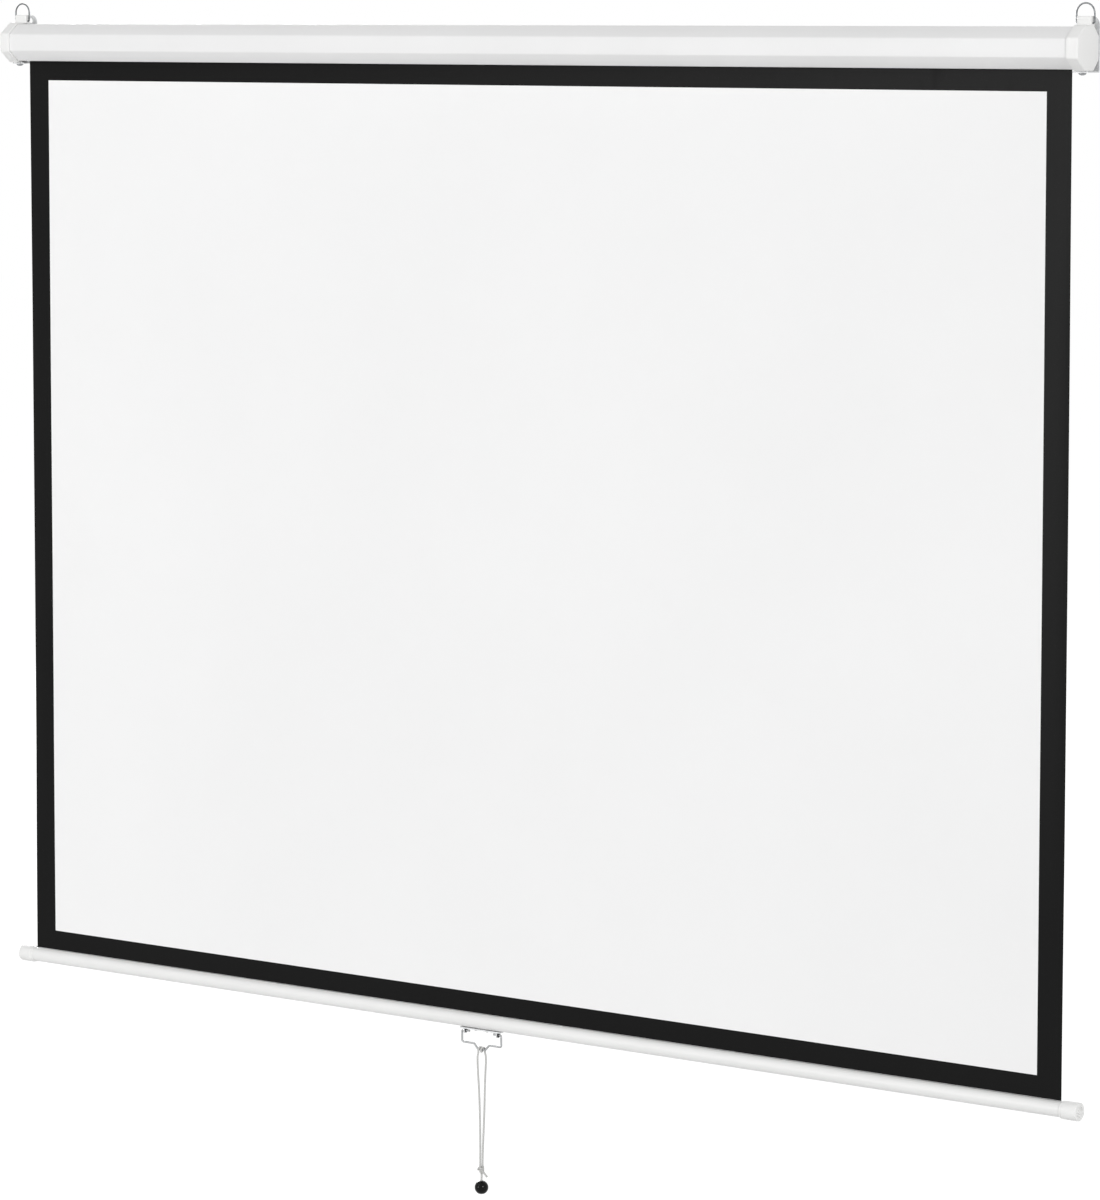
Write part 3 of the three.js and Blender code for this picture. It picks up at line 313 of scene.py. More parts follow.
def painted(name, light, dark, roughness, grain_scale, grain_depth):
    """Smooth white paint or moulding: peel, faint patches of tone, scuffs and a little dust"""
    finish, tree, surface, place = new_finish(name, roughness)
    grain = effect(tree, fine_grain, Place=place, Scale=grain_scale, Patch_scale=5.0)
    marks = effect(tree, handling, Place=place, Scuff_scale=60.0, Speck_scale=300.0)
    colour_from(tree, surface, grain['Patches'], light, dark, marks['Specks'], DUST_ON_WHITE, 0.25)
    roughness_from(tree, surface, marks['Scuffs'], more=0.1, base=roughness)
    bump(tree, surface, grain['Height'], grain_depth)
    return finish


def bare_metal(name, light, dark, roughness, stretch, depth, mottled=0.0, metallic=1.0):
    """Plated or drawn metal: fine lines, a tint that follows them, and cloudy plating"""
    finish, tree, surface, place = new_finish(name, roughness, metallic)
    lines = effect(tree, brushing, Place=place, Stretch=stretch)
    grain = effect(tree, fine_grain, Place=place, Scale=1500.0, Patch_scale=90.0)
    clouds = grain['Patches'] if mottled else None
    colour_from(tree, surface, lines['Tint'], light, dark, clouds, dark, mottled)
    roughness_from(tree, surface, grain['Patches'], more=0.12, base=roughness)
    bump(tree, surface, lines['Height'], depth)
    return finish


def cloth_white():
    """Matt white picture surface: a very fine even grain and a breath of tone in patches"""
    finish, tree, surface, place = new_finish('Picture surface, matt white', 0.85, Specular_IOR_Level=0.2)
    grain = effect(tree, fine_grain, Place=place, Scale=2200.0, Patch_scale=1.4)
    colour_from(tree, surface, grain['Patches'], 'f6f6f6', 'f3f3f3')
    bump(tree, surface, grain['Height'], depth=0.00002, strength=0.6)
    return finish


def cloth_black(name, light, dark, roughness, specular):
    """Black print or backing on the sheet: satin, with the sheet's grain showing through"""
    finish, tree, surface, place = new_finish(name, roughness, Specular_IOR_Level=specular)
    grain = effect(tree, fine_grain, Place=place, Scale=1600.0, Patch_scale=2.0)
    marks = effect(tree, handling, Place=place, Scuff_scale=25.0, Stretch=(1.0, 1.0, 0.2), Speck_scale=180.0)
    colour_from(tree, surface, grain['Patches'], dark, light, marks['Specks'], DUST_ON_BLACK, 0.1)
    roughness_from(tree, surface, marks['Scuffs'], more=0.08, base=roughness)
    bump(tree, surface, grain['Height'], depth=0.00003, strength=0.7)
    return finish


def cord_finish():
    """Off-white polyester braid, with painted shade that makes it greyer in its furrows"""
    finish, tree, surface, place = new_finish('Braided cord', 0.8, Sheen_Weight=0.2)
    lay = node(tree, 'ShaderNodeUVMap', uv_map='Lay')
    split = node(tree, 'ShaderNodeSeparateXYZ', {'Vector': lay.outputs['UV']})
    yarn = effect(tree, braid, Across=split.outputs['X'], Along=split.outputs['Y'], Yarns=6.0, Pitch=0.009)
    fuzz = effect(tree, fine_grain, Place=place, Scale=2500.0, Patch_scale=120.0)
    # Painted shade: the colour runs from d6d6d4 on the yarns to the darker b0b0ae in the furrows between them
    colour_from(tree, surface, yarn['Painted furrow shade'], 'd6d6d4', 'b0b0ae')
    soft = bump(tree, surface, fuzz['Height'], depth=0.00005, strength=0.4)
    bump(tree, surface, yarn['Height'], depth=0.00025, strength=0.9, below=soft)
    return finish


def ball_finish():
    """Glossy black moulding with hairline scratches"""
    finish, tree, surface, place = new_finish('Ball, gloss black', 0.1, Specular_IOR_Level=0.14)
    marks = effect(tree, handling, Place=place, Scuff_scale=180.0, Stretch=(1.0, 0.2, 1.0), Speck_scale=900.0)
    grain = effect(tree, fine_grain, Place=place, Scale=700.0, Patch_scale=60.0)
    colour_from(tree, surface, grain['Patches'], '060606', '090909')
    roughness_from(tree, surface, marks['Scuffs'], more=0.2, base=0.09)
    bump(tree, surface, grain['Height'], depth=0.00002, strength=0.4)
    return finish


def nylon_finish():
    finish, tree, surface, place = new_finish('Nylon, black', 0.5)
    grain = effect(tree, fine_grain, Place=place, Scale=1800.0, Patch_scale=200.0)
    colour_from(tree, surface, grain['Patches'], '1a1a1a', '262626')
    bump(tree, surface, grain['Height'], depth=0.00004, strength=0.6)
    return finish


casing_paint = painted('Casing paint, white', 'ececec', 'e9e9e9', roughness=0.42,
                       grain_scale=700.0, grain_depth=0.00004)
moulding = painted('Moulding, white', 'f1f1f0', 'eeeeed', roughness=0.5,
                   grain_scale=1500.0, grain_depth=0.00003)
bar_paint = painted('Bar paint, white', 'eeeeed', 'ebebea', roughness=0.4,
                    grain_scale=900.0, grain_depth=0.00003)
zinc = bare_metal('Zinc plate', 'dedfe0', 'cacbcc', roughness=0.5,
                  stretch=(300.0, 300.0, 300.0), depth=0.00003, mottled=0.5, metallic=0.7)
wire_plate = bare_metal('Zinc plated wire', 'b4b5b6', '9c9d9e', roughness=0.42,
                        stretch=(500.0, 500.0, 500.0), depth=0.00002, mottled=0.3)
chrome = bare_metal('Ring, bright plate', '7c7e80', '5e6062', roughness=0.24,
                    stretch=(700.0, 700.0, 700.0), depth=0.00001)
screw_metal = bare_metal('Screws, steel', 'a9abad', '8e9092', roughness=0.34,
                         stretch=(600.0, 600.0, 600.0), depth=0.00003, mottled=0.4)
spring_metal = bare_metal('Spring wire', '77797c', '5f6164', roughness=0.4,
                          stretch=(900.0, 300.0, 300.0), depth=0.00003, mottled=0.3)
roller_metal = bare_metal('Roller, aluminium', 'c6c8ca', 'b4b6b8', roughness=0.34,
                          stretch=(6.0, 1100.0, 1100.0), depth=0.00003)
picture_white = cloth_white()
border_black = cloth_black('Border, black print', '0e0e0e', '0a0a0a', roughness=0.36, specular=0.08)
back_black = cloth_black('Backing, black', '202020', '1a1a1a', roughness=0.65, specular=0.12)
cord_braid = cord_finish()
ball_gloss = ball_finish()
nylon = nylon_finish()

by_slot = {
    'casing_white': casing_paint, 'plastic_white': moulding, 'bar_white': bar_paint, 'zinc_steel': zinc,
    'ring_chrome': chrome, 'screw_steel': screw_metal, 'spring_steel': spring_metal,
    'roller_aluminium': roller_metal, 'nylon_black': nylon, 'screen_white': picture_white,
    'screen_black': back_black, 'cord_grey': cord_braid, 'ball_black': ball_gloss,
}
for kept in frame['nodes'].values():
    for place_in_list in kept.material_slots:
        place_in_list.material = by_slot[place_in_list.material.name]


# Ways of working

NEAR = 0.1  # a middle this close to a plane counts as on it
STRAIGHT = 0.9  # a facing with this much along an axis looks that way
MERGE_WITHIN = 0.00001  # metres


def take_nothing():
    """Leaves edit mode and deselects everything"""
    if bpy.context.object and bpy.context.object.mode != 'OBJECT':
        bpy.ops.object.mode_set(mode='OBJECT')
    for other in bpy.context.selected_objects:
        other.select_set(False)


def take(*pieces):
    """Selects only these, the first one active"""
    take_nothing()
    for piece in pieces:
        piece.select_set(True)
    bpy.context.view_layer.objects.active = pieces[0]


def pick(piece, kind, test):
    """In edit mode, selects only the faces, edges or points whose middle and facing pass the test"""
    take(piece)
    bpy.context.tool_settings.mesh_select_mode = (kind == 'VERT', kind == 'EDGE', kind == 'FACE')
    mesh = piece.data
    for point in mesh.vertices:
        point.select = kind == 'VERT' and test(point.co / MM, point.normal)
    for edge in mesh.edges:
        a, b = (mesh.vertices[i].co for i in edge.vertices)
        edge.select = kind == 'EDGE' and test((a + b) / 2 / MM, (b - a) / MM)
    for face in mesh.polygons:
        face.select = kind == 'FACE' and test(face.center / MM, face.normal)
    bpy.ops.object.mode_set(mode='EDIT')


def block(low, high):
    """A box between two corners, in millimetres"""
    low, high = (Vector([f(pair) for pair in zip(low, high)]) for f in (min, max))
    take_nothing()
    bpy.ops.mesh.primitive_cube_add(size=1, location=(low + high) / 2 * MM, scale=(high - low) * MM)
    bpy.ops.object.transform_apply(location=True, rotation=True, scale=True)
    return bpy.context.object


def rod(radius, start, length, axis, sides=32):
    """A closed cylinder that runs from start along an axis"""
    turn = {'X': (0, math.pi / 2, 0), 'Y': (math.pi / 2, 0, 0), 'Z': (0, 0, 0)}[axis]
    way = Vector({'X': (1, 0, 0), 'Y': (0, 1, 0), 'Z': (0, 0, 1)}[axis])
    take_nothing()
    bpy.ops.mesh.primitive_cylinder_add(vertices=sides, radius=radius * MM, depth=abs(length) * MM,
                                        location=(Vector(start) + way * length / 2) * MM, rotation=turn)
    bpy.ops.object.transform_apply(location=True, rotation=True, scale=True)
    return bpy.context.object


def slice_off(piece, point, facing, keep=False):
    """Cuts through along a plane, and takes away what lies on the side that it faces"""
    pick(piece, 'FACE', lambda middle, normal: True)
    bpy.ops.mesh.bisect(plane_co=Vector(point) * MM, plane_no=facing, use_fill=not keep,
                        clear_outer=not keep)


def round_edges(piece, width, steps, test):
    pick(piece, 'EDGE', test)
    bpy.ops.mesh.bevel(offset=width * MM, segments=steps, affect='EDGES', clamp_overlap=True)


def drill(piece, *cutters):
    """Takes the cutters out of the piece"""
    for cutter in cutters:
        take(piece)
        cut = piece.modifiers.new('Cut', 'BOOLEAN')
        cut.operation, cut.solver, cut.object = 'DIFFERENCE', 'EXACT', cutter
        bpy.ops.object.modifier_apply(modifier=cut.name)
        bpy.data.objects.remove(cutter)
    return piece


def soften(piece, width, steps=2, above=35):
    """A small bevel on every edge sharper than the angle"""
    take(piece)
    bevel = piece.modifiers.new('Soft edges', 'BEVEL')
    bevel.width, bevel.segments, bevel.limit_method = width * MM, steps, 'ANGLE'
    bevel.angle_limit = math.radians(above)
    bpy.ops.object.modifier_apply(modifier=bevel.name)
    return piece


def give_thickness(piece, thickness, offset=-1):
    """Turns a skin into a wall: inwards from its faces, or to both sides with an offset of 0"""
    take(piece)
    wall = piece.modifiers.new('Wall', 'SOLIDIFY')
    wall.thickness, wall.offset, wall.use_even_offset = thickness * MM, offset, True
    bpy.ops.object.modifier_apply(modifier=wall.name)


def together(first, *others):
    take(first, *others)
    bpy.ops.object.join()
    return first


def lathe(profile, centre, axis, steps=48):
    """A profile of (distance along the axis, radius) points, spun once round"""
    along = Vector({'X': (1, 0, 0), 'Z': (0, 0, 1)}[axis])
    across = Vector((0, 0, 1)) if axis == 'X' else Vector((1, 0, 0))
    places = [(Vector(centre) + along * a + across * r) * MM for a, r in profile]
    take_nothing()
    bpy.ops.mesh.primitive_plane_add(size=MM, location=places[0])
    piece = bpy.context.object
    bpy.ops.object.transform_apply(location=True, rotation=True, scale=True)
    bpy.context.tool_settings.mesh_select_mode = (True, False, False)
    bpy.ops.object.mode_set(mode='EDIT')
    bpy.ops.mesh.merge(type='CENTER')
    for before, after in zip(places, places[1:]):
        bpy.ops.mesh.extrude_region_move(TRANSFORM_OT_translate={'value': after - before})
    bpy.ops.mesh.select_all(action='SELECT')
    bpy.ops.mesh.spin(steps=steps, angle=2 * math.pi, center=Vector(centre) * MM, axis=along)
    bpy.ops.mesh.select_all(action='SELECT')
    bpy.ops.mesh.remove_doubles(threshold=MERGE_WITHIN)
    bpy.ops.mesh.normals_make_consistent(inside=False)
    bpy.ops.object.mode_set(mode='OBJECT')
    return piece


def dome(radius, height, steps=5):
    """Profile points of a domed head, from its tip to its rim"""
    return [(height * (1 - math.cos(a)), radius * math.sin(a))
            for a in (math.pi / 2 * k / steps for k in range(steps + 1))]


def rounded_route(corners, radii, steps=8):
    """A line of corners with an arc of its own radius at each inner one"""
    points = [Vector(corners[0])]
    for i, radius in enumerate(radii, 1):
        here = Vector(corners[i])
        back, on = (Vector(corners[i - 1]) - here).normalized(), (Vector(corners[i + 1]) - here).normalized()
        half = back.angle(on) / 2
        middle = here + (back + on).normalized() * radius / math.sin(half)
        first, last = here + back * radius / math.tan(half), here + on * radius / math.tan(half)
        for k in range(steps + 1):
            points.append(middle + (first - middle).slerp(last - middle, k / steps).normalized() * radius)
    return points + [Vector(corners[-1])]


def smooth_route(points, per_span=8):
    """A smooth line through all the points"""
    points = [Vector(p) for p in points]
    ends = [2 * points[0] - points[1], *points, 2 * points[-1] - points[-2]]
    made = []
    for a, b, c, d in zip(ends, ends[1:], ends[2:], ends[3:]):
        for k in range(per_span):
            t = k / per_span
            made.append(0.5 * (2 * b + (c - a) * t + (2 * a - 5 * b + 4 * c - d) * t * t
                               + (3 * b - a - 3 * c + d) * t ** 3))
    return made + [points[-1]]


def wire(route, radius, sides=14):
    """A bent round wire along a route of points in millimetres"""
    line = bpy.data.curves.new('Wire', 'CURVE')
    line.dimensions, line.fill_mode = '3D', 'FULL'
    line.bevel_depth, line.bevel_resolution, line.use_fill_caps = radius * MM, sides // 2 - 1, True
    spline = line.splines.new('POLY')
    spline.points.add(len(route) - 1)
    for point, place in zip(spline.points, route):
        point.co = (*(Vector(place) * MM), 1)
    piece = bpy.data.objects.new('Wire', line)
    bpy.context.scene.collection.objects.link(piece)
    take(piece)
    bpy.ops.object.convert(target='MESH')
    piece = bpy.context.object
    bpy.ops.object.mode_set(mode='EDIT')
    bpy.ops.mesh.select_all(action='SELECT')
    bpy.ops.mesh.remove_doubles(threshold=MERGE_WITHIN)
    bpy.ops.mesh.normals_make_consistent(inside=False)
    bpy.ops.object.mode_set(mode='OBJECT')
    return piece


def cord_tube(routes, radius, sides=14):
    """Cord along one or more routes, with a Lay map of its turn and its length in metres"""
    points, faces, lay = [], [], []
    for route in routes:
        route = [Vector(p) * MM for p in route]
        first = len(points)
        side, run = None, 0.0
        for i, here in enumerate(route):
            way = (route[min(i + 1, len(route) - 1)] - route[max(i - 1, 0)]).normalized()
            side = way.orthogonal() if side is None else side - way * side.dot(way)
            side.normalize()
            other = way.cross(side)
            run += (here - route[i - 1]).length if i else 0.0
            for k in range(sides):
                angle = 2 * math.pi * k / sides
                points.append(here + (side * math.cos(angle) + other * math.sin(angle)) * radius * MM)
            if i:
                step = (here - route[i - 1]).length
                for k in range(sides):
                    a, b = first + (i - 1) * sides + k, first + (i - 1) * sides + (k + 1) % sides
                    faces.append((a, b, b + sides, a + sides))
                    u, v = k / sides, (k + 1) / sides
                    lay.append(((u, run - step), (v, run - step), (v, run), (u, run)))
        last = first + (len(route) - 1) * sides
        faces.append(tuple(range(first + sides - 1, first - 1, -1)))
        lay.append(tuple((k / sides, 0.0) for k in range(sides)))
        faces.append(tuple(range(last, last + sides)))
        lay.append(tuple((k / sides, run) for k in range(sides)))
    mesh = bpy.data.meshes.new('Cord')
    mesh.from_pydata(points, [], faces)
    layer = mesh.uv_layers.new(name='Lay')
    for face, corners in zip(mesh.polygons, lay):
        for loop, corner in zip(face.loop_indices, corners):
            layer.data[loop].uv = corner
    piece = bpy.data.objects.new('Cord', mesh)
    bpy.context.scene.collection.objects.link(piece)
    return piece


def done(piece, name, body, finish, stands_for=(), smooth=32):
    """Last steps of every piece: name, smooth shading, finish, and the body that it rides on"""
    take(piece)
    bpy.ops.object.transform_apply(location=True, rotation=True, scale=True)
    bpy.ops.object.shade_smooth_by_angle(angle=math.radians(smooth))
    piece.name = piece.data.name = name
    if finish:
        piece.data.materials.clear()
        piece.data.materials.append(finish)
    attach(piece, body)
    if stands_for:
        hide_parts(*stands_for)
    return piece


# The cord, its knot and its ball

CORD_RADIUS = 1.7
# Where the strands run, from the middle of the handle's throat
LEFT_STRAND = [
    (-4.2, -3.8, -2.9), (-4.3, -3.8, -5.8), (-5.5, -3.8, -11), (-5.9, -3.7, -19), (-5.7, -3.5, -28),
    (-4.6, -3.2, -48), (-3.4, -2.8, -69), (-2.4, -2.3, -101), (-1.9, -1.8, -134), (-2, -1.3, -168),
    (-2.3, -0.95, -190), (-2.3, -0.9, -194.5), (-2.3, -0.9, -197.5),
]
RIGHT_STRAND = [
    (4.2, 3.8, -2.9), (4.4, 3.8, -5.8), (5.8, 3.8, -11), (6.2, 3.7, -19), (6, 3.5, -28), (5, 3.2, -49),
    (4.5, 2.8, -69), (4, 2.3, -101), (3, 1.8, -134), (1.6, 1.3, -168), (1.2, 0.95, -190),
    (1.2, 0.9, -194.5), (1.2, 0.9, -197.5),
]
KNOT_TOP, KNOT_HEIGHT, KNOT_SIDE, KNOT_NECK = -197.8, 14.5, -0.4, 3.9
KNOT_BOTTOM = KNOT_TOP - KNOT_HEIGHT
BALL_RADIUS, BALL_BORE, BALL_HOLLOW = 11.7, 2.3, 5.0
BALL_CORD_SEEN = 12.0  # between the knot and the ball
BALL_CORD_TOP = THROAT_Z + KNOT_BOTTOM - GAP
BALL_X = HANDLE_X + KNOT_SIDE
BALL_Z = BALL_CORD_TOP - BALL_CORD_SEEN - BALL_RADIUS


def from_throat(points):
    return [Vector((HANDLE_X, SHEET_Y, THROAT_Z)) + Vector(p) for p in points]


def done_cord(routes, name, node_name):
    piece = cord_tube(routes, CORD_RADIUS)
    return done(piece, name, 'cord', cord_braid, [node_name], smooth=60)


def make_winding():
    """A turn and a half round the handle's throat, its ends led down to the strands"""
    reach, half, turns, steps = HANDLE_WIRE + GAP + CORD_RADIUS, 4.2, 1.5, 72
    lead_top, lead_end = -2.2, LEFT_STRAND[0][2]
    route = [(-half, -reach, lead_end), (-half, -reach, lead_top)]
    for k in range(steps + 1):
        share = k / steps
        angle = math.pi - share * turns * 2 * math.pi
        route.append((half * (2 * share - 1), reach * math.cos(angle), reach * math.sin(angle)))
    route += [(half, reach, lead_top), (half, reach, lead_end)]
    return done_cord([from_throat(route)], 'Cord_winding', 'cord_wrap')


def cut_end(root, inside, way, stops):
    """A cut end of the cord, from inside the knot out to the last stop"""
    root = Vector(root)
    return [root + Vector(inside)] + [root + Vector(way) * stop for stop in stops]


def make_knot():
    """The two strands pass down the middle, held by the turns round them, and the cut ends stick out"""
    strands = []
    for x, y, z in (LEFT_STRAND[-1], RIGHT_STRAND[-1]):
        strands.append([(x, y, z), (x, y, KNOT_TOP - 1), (x * 0.9, y * 0.8, KNOT_TOP - 5),
                        (x * 0.9, y * 0.8, KNOT_BOTTOM + 3),
                        (KNOT_SIDE + x * 0.3, y * 0.6, KNOT_BOTTOM + 0.2)])
    first_angle, turns, steps, wound_height = -0.6, 2.6, 96, 9.0
    reach, belly, turns_top = 3.0, 0.25, KNOT_TOP - 2.8
    winding = []
    for k in range(steps + 1):
        share = k / steps
        angle = first_angle + share * turns * 2 * math.pi
        swell = reach + belly * math.sin(math.pi * share)
        winding.append((KNOT_SIDE + swell * math.cos(angle), swell * math.sin(angle),
                        turns_top - share * wound_height))
    short = cut_end((KNOT_SIDE - KNOT_NECK, 0, KNOT_BOTTOM + 0.7 * KNOT_HEIGHT), inside=(1.8, 0.8, 1.6),
                    way=(-0.5, -0.25, -0.83), stops=(1.5, 6))
    long = cut_end((KNOT_SIDE + 0.6 * KNOT_NECK, 0, KNOT_BOTTOM + KNOT_NECK), inside=(-1.2, 0.4, 1.6),
                   way=(0.82, -0.22, -0.53), stops=(1.8, 8, 13.8))
    routes = [smooth_route(r, 4) for r in strands] + [winding, smooth_route(short, 4), smooth_route(long, 5)]
    return done_cord([from_throat(r) for r in routes], 'Cord_knot', 'cord_knot')


def make_strand(name, places, node_name):
    route = smooth_route(from_throat(places), 6)
    strand = done_cord([route], name, node_name)


def make_ball_cord():
    """From the knot down into the ball, and the stopper knot in the hollow below"""
    top, bottom = BALL_CORD_TOP, box_of('ball_cord')[0][2]
    route = [(BALL_X, SHEET_Y, top), (BALL_X + 0.15, SHEET_Y, top - 5),
             (BALL_X, SHEET_Y, top - BALL_CORD_SEEN), (BALL_X, SHEET_Y, bottom)]
    done_cord([smooth_route(route, 8)], 'Ball_cord', 'ball_cord')

    middle = Vector((BALL_X, SHEET_Y, middle_of('ball_stopper')[2]))
    reach, half_height, turns, steps = 2.2, 2.0, 1.4, 40
    loops = []
    for k in range(steps + 1):
        share = k / steps
        angle = 2 * math.pi * turns * share
        loops.append(middle + Vector((reach * math.cos(angle), reach * math.sin(angle),
                                      half_height * (1 - 2 * share))))
    stub = [middle + Vector(p) for p in ((0, 0, 3.8), (0.3, 0, 0), (-0.4, 0.2, -2.4))]
    done_cord([loops, smooth_route(stub, 4)], 'Ball_stopper_knot', 'ball_stopper')


def make_ball():
    """A turned black ball: a rounded bore on top, a hollow below, and its moulding line"""
    r, bore, hollow = BALL_RADIUS, BALL_BORE, BALL_HOLLOW
    bore_lip, hollow_lip, corner, hollow_depth = 0.5, 0.4, 0.5, 6.5
    seam_depth, seam_share, steps = 0.06, 0.02, 48
    first, last = math.pi - math.asin((hollow + hollow_lip) / r), math.asin((bore + bore_lip) / r)
    profile = []
    for k in range(steps + 1):
        angle = first + (last - first) * k / steps
        reach = r - seam_depth if abs(math.cos(angle)) < seam_share else r
        profile.append((reach * math.cos(angle), reach * math.sin(angle)))
    rim, foot = math.sqrt(r * r - bore * bore), -math.sqrt(r * r - hollow * hollow)
    floor = foot + hollow_depth
    profile += [(rim - 0.15, bore + 0.1), (rim - 0.6, bore), (floor, bore), (floor, hollow - corner),
                (floor - corner, hollow), (foot + hollow_lip, hollow), profile[0]]
    ball = lathe(profile, (BALL_X, SHEET_Y, BALL_Z), 'Z', 64)
    done(ball, 'Pull_ball', 'cord', ball_gloss, ['pull_ball'], smooth=40)


make_winding()
knot_piece = make_knot()
make_strand('Cord_strand_left', LEFT_STRAND, 'cord_strand_left')
make_strand('Cord_strand_right', RIGHT_STRAND, 'cord_strand_right')
make_ball_cord()
make_ball()


# The casing and its ends

FRONT_FLAT, BACK_FLAT = 14.5, 17.0  # half the height of the casing's front and back
FRONT_BEVEL, BACK_BEVEL = 22.0, 14.0  # how far the slopes reach over its top
PLATE_THICKNESS = 2.0


def octagon(piece, grow):
    """Cuts a box down to the casing's eight-sided section, grown outwards by some millimetres"""
    front, back = (-1, CASING_LOW[1], FRONT_FLAT, FRONT_BEVEL), (1, CASING_HIGH[1], BACK_FLAT, BACK_BEVEL)
    for up in (1, -1):
        for way, y, flat, bevel in (front, back):
            facing = Vector((0, way * (CASING_HIGH[2] - flat), up * bevel)).normalized()
            slice_off(piece, Vector((0, y, up * flat)) + facing * grow, facing)


def make_casing():
    """The painted section: a skin with a slot along its bottom, its lips turned in"""
    rounding, wall, slot_half, lip = 1.4, 1.2, 6.5, 4.5
    level = -0.99  # the bottom faces down more than this, and the rounding beside it less
    casing = block(CASING_LOW, CASING_HIGH)
    octagon(casing, 0)
    round_edges(casing, rounding, 3, lambda middle, run: abs(run.x) > NEAR)
    pick(casing, 'FACE', lambda middle, facing: facing.z < level)
    for y in (SHEET_Y - slot_half, SHEET_Y + slot_half):
        bpy.ops.mesh.bisect(plane_co=(0, y * MM, 0), plane_no=(0, 1, 0), use_fill=False)
    pick(casing, 'FACE', lambda middle, facing: abs(facing.x) > STRAIGHT
         or (facing.z < level and abs(middle.y - SHEET_Y) < slot_half - NEAR))
    bpy.ops.mesh.delete(type='FACE')
    pick(casing, 'EDGE', lambda middle, run: abs(run.x) > NEAR and middle.z < CASING_LOW[2] + NEAR
         and abs(abs(middle.y - SHEET_Y) - slot_half) < NEAR)
    bpy.ops.mesh.extrude_edges_move(TRANSFORM_OT_translate={'value': (0, 0, lip * MM)})
    give_thickness(casing, wall)
    done(casing, 'Casing', 'housing', casing_paint, ['casing_shell'])


def make_end_cap(end, side):
    """A hollow eight-sided cap over the casing's end, with the grooved block that carries the ring"""
    sleeve, end_wall, wall, rounding = 17, 3, 2.2, 2.3
    outer = CAP_HIGH[0]
    grow = CAP_HIGH[1] - CASING_HIGH[1]
    cap_top = CASING_HIGH[2] + grow
    mouth = outer - end_wall - sleeve
    cap = block((side * mouth, CAP_LOW[1], -cap_top), (side * outer, CAP_HIGH[1], cap_top))
    octagon(cap, grow)
    round_edges(cap, rounding, 4, lambda middle, run: abs(run.x) > NEAR or abs(middle.x) > outer - NEAR)
    pick(cap, 'FACE', lambda middle, facing: facing.x * side < -STRAIGHT)
    bpy.ops.mesh.inset(thickness=wall * MM, use_even_offset=True)
    bpy.ops.mesh.extrude_region_move(TRANSFORM_OT_translate={'value': (side * sleeve * MM, 0, 0)})
    bpy.ops.object.mode_set(mode='OBJECT')

    half_width, half_depth, foot, hook_rounding = 12.7, 6, cap_top - 1.4, 1.8
    groove_low, groove_high, groove_depth = 42.6, 43.5, 0.6
    ring_play, overrun = 0.45, 15
    hook = block((side * (HOOK_X - half_width), HOOK_Y - half_depth, foot),
                 (side * (HOOK_X + half_width), HOOK_Y + half_depth, CAP_HIGH[2]))
    round_edges(hook, hook_rounding, 4, lambda middle, run: middle.z > foot + NEAR)
    for z in (groove_low, groove_high):
        slice_off(hook, (0, 0, z), (0, 0, 1), keep=True)
    pick(hook, 'FACE', lambda middle, facing: groove_low < middle.z < groove_high)
    bpy.ops.mesh.extrude_region_shrink_fatten(TRANSFORM_OT_shrink_fatten={'value': -groove_depth * MM})
    drill(hook, rod(RING_WIRE + ring_play, (side * HOOK_X - overrun, HOOK_Y, RING_Z), 2 * overrun, 'X', 24))

    edge, flange_height, flange_rounding = 0.6, 2.3, 0.5
    flange_from, flange_to = HOOK_X - half_width - 0.4, HOOK_X + half_width - 0.3
    flange = block((side * flange_from, HOOK_Y - half_depth - edge, foot),
                   (side * flange_to, HOOK_Y + half_depth + edge, foot + flange_height))
    soften(flange, flange_rounding)
    boss_radius, boss_from, boss_to = 4.5, BRACKET_X + GAP, outer - end_wall / 2
    bosses = [rod(boss_radius, (side * boss_from, BOSS_Y, up * BOSS_Z), side * (boss_to - boss_from), 'X', 24)
              for up in (-1, 1)]
    cap = together(cap, hook, flange, *bosses)
    done(cap, 'End_cap_' + end, 'housing', moulding, ['end_cap_' + end])


def make_wall_plate(end, side):
    """An arched steel plate behind the cap; its foot turns forward below the cap"""
    radius = (PLATE_HIGH[0] - PLATE_LOW[0]) / 2
    x, top = side * (PLATE_LOW[0] + radius), PLATE_HIGH[2] - radius
    face = PLATE_HIGH[1] - PLATE_THICKNESS
    foot_top = PLATE_LOW[2] + PLATE_THICKNESS
    corner, edge, hole, hole_z, screw_hole, overrun = 4, 0.35, 4.5, PLATE_HIGH[2] - 10, 2.3, 2.7
    plate = rod(radius, (x, face, top), PLATE_THICKNESS, 'Y', 48)
    slice_off(plate, (0, 0, top), (0, 0, -1))
    pick(plate, 'FACE', lambda middle, facing: facing.z < -STRAIGHT)
    bpy.ops.mesh.extrude_region_move(TRANSFORM_OT_translate={'value': (0, 0, (PLATE_LOW[2] - top) * MM)})
    slice_off(plate, (0, 0, foot_top), (0, 0, 1), keep=True)
    pick(plate, 'FACE', lambda middle, facing: facing.y < -STRAIGHT and middle.z < foot_top - NEAR)
    bpy.ops.mesh.extrude_region_move(TRANSFORM_OT_translate={'value': (0, (PLATE_LOW[1] - face) * MM, 0)})
    round_edges(plate, corner, 5, lambda middle, run: middle.y < PLATE_LOW[1] + NEAR
                and abs(run.z) > PLATE_THICKNESS / 2)
    through = PLATE_THICKNESS + 2 * overrun
    drill(plate, rod(hole, (x, face - overrun, hole_z), through, 'Y', 32),
          rod(screw_hole, (side * HOOK_X, CAP_SCREW_Y, PLATE_LOW[2] - overrun), through, 'Z', 24))
    soften(plate, edge)
    done(plate, 'Wall_plate_' + end, 'housing', zinc, ['wall_plate_' + end])


